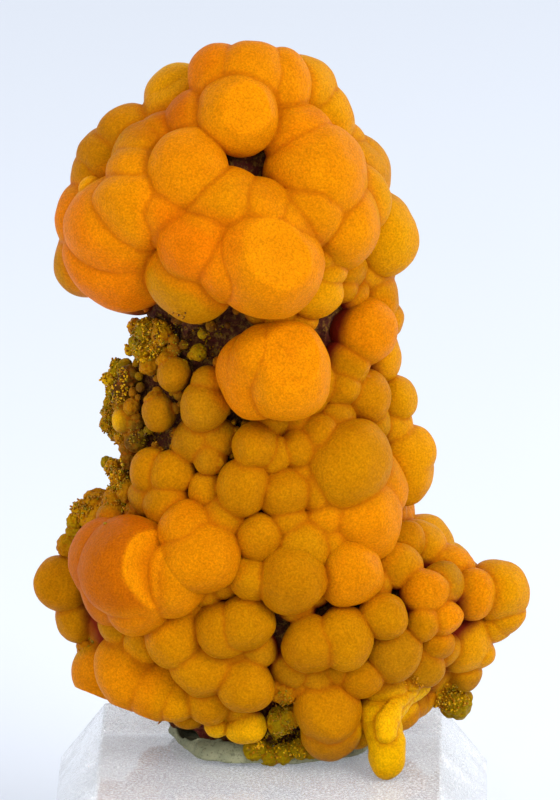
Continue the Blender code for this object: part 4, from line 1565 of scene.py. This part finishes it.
@dataclass(frozen=True)
class Lamp:
    """One area light, aimed at the specimen's middle."""

    name: str
    place: tuple[float, float, float]
    size: float
    power: float
    colour: Colour

    def light(self, target: Vector) -> bpy.types.Object:
        """Hangs the lamp and turns it to the target."""
        data = bpy.data.lights.new(self.name, "AREA")
        data.size = self.size
        data.energy = self.power
        data.color = self.colour
        obj = bpy.data.objects.new(self.name, data)
        obj.location = self.place
        obj.rotation_euler = (target - obj.location).to_track_quat("-Z", "Y").to_euler()
        bpy.context.scene.collection.objects.link(obj)
        return obj


@dataclass
class Studio:
    """Pale floor, soft light and the camera of the display view."""

    floor_size: float = 6.0
    floor_drop: float = 0.0002
    floor_colour: Colour = (0.74, 0.775, 0.84)
    sky: Colour = (0.90, 0.94, 1.0)
    sky_strength: float = 0.92
    camera_azimuth: float = 0.9
    camera_distance: float = 0.97
    camera_frame: float = 80.0
    camera_sensor: float = 36.0
    camera_clip: tuple[float, float] = (0.05, 20.0)
    subject_depth: float = 8.0
    lit_height: float = 35.0
    aim: tuple[float, float] = (1.0, 36.1)
    lamps: tuple[Lamp, ...] = (
        Lamp("key", (0.30, -0.32, 0.34), 0.26, 2.0, (1.0, 0.98, 0.95)),
        Lamp("rim", (0.38, 0.22, 0.22), 0.20, 0.5, (1.0, 0.98, 0.94)),
        Lamp("fill", (-0.40, -0.30, 0.24), 0.30, 0.9, (1.0, 0.98, 0.95)),
        Lamp("glint", (-0.06, -0.80, 0.36), 0.035, 0.4, (1.0, 1.0, 1.0)),
    )

    def floor(self) -> bpy.types.Object:
        """Lays the pale floor."""
        deselect()
        bpy.ops.mesh.primitive_plane_add(size=self.floor_size, location=(0, 0, -self.floor_drop))
        obj = bpy.context.object
        obj.name = "floor"
        graph = Graph("floor")
        graph.set(Base_Color=(*self.floor_colour, 1.0), Roughness=0.9, Specular_IOR_Level=0.1)
        obj.data.materials.append(graph.material)
        return obj

    def world(self) -> None:
        """Sets the even pale surround."""
        world = bpy.data.worlds.new("surround")
        world.use_nodes = True
        background = world.node_tree.nodes["Background"]
        background.inputs["Color"].default_value = (*self.sky, 1.0)
        background.inputs["Strength"].default_value = self.sky_strength
        bpy.context.scene.world = world

    def camera(self) -> bpy.types.Object:
        """Sets the camera that looks slightly down on the specimen."""
        turn = math.radians(self.camera_azimuth)
        back = Vector((
            math.sin(turn) * math.cos(LOOK_DOWN),
            -math.cos(turn) * math.cos(LOOK_DOWN),
            math.sin(LOOK_DOWN),
        ))
        right = Vector((math.cos(turn), math.sin(turn), 0))
        across, up = self.aim
        target = in_frame((0, 0, 0)) + right * across * MM + back.cross(right) * up * MM
        data = bpy.data.cameras.new("camera")
        data.sensor_width = self.camera_sensor
        data.lens = data.sensor_width * (self.camera_distance / MM - self.subject_depth) / self.camera_frame
        data.clip_start, data.clip_end = self.camera_clip
        obj = bpy.data.objects.new("camera", data)
        obj.location = target + back * self.camera_distance
        obj.rotation_euler = (-back).to_track_quat("-Z", "Y").to_euler()
        bpy.context.scene.collection.objects.link(obj)
        bpy.context.scene.camera = obj
        return obj

    def build(self) -> None:
        """Sets up floor, surround, lamps and camera."""
        self.floor()
        self.world()
        target = in_frame((0, 0, self.lit_height))
        for lamp in self.lamps:
            lamp.light(target)
        self.camera()
        bpy.context.scene.view_settings.view_transform = "Standard"


def clear_scene() -> None:
    """Removes what the scene holds before the part is loaded."""
    for obj in list(bpy.data.objects):
        bpy.data.objects.remove(obj)


def report(obj: bpy.types.Object) -> None:
    """Logs a finished piece's name and number of faces."""
    LOG.info("%s: %d faces", obj.name, len(obj.data.polygons))


def main() -> None:
    """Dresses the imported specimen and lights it."""
    logging.basicConfig(level=logging.INFO, format="%(message)s", stream=sys.stdout)
    clear_scene()
    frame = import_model()
    report(AcrylicBlock().build())
    report(MountingPutty(frame).build())
    rock = RockCore(frame)
    rock_piece = rock.build()
    report(rock_piece)
    crust = Crust(rock, Planting(rock))
    pieces = crust.build()
    report(Druse(crust.beads).build([rock_piece, *pieces]))
    Studio().build()


if __name__ == "__main__":
    main()
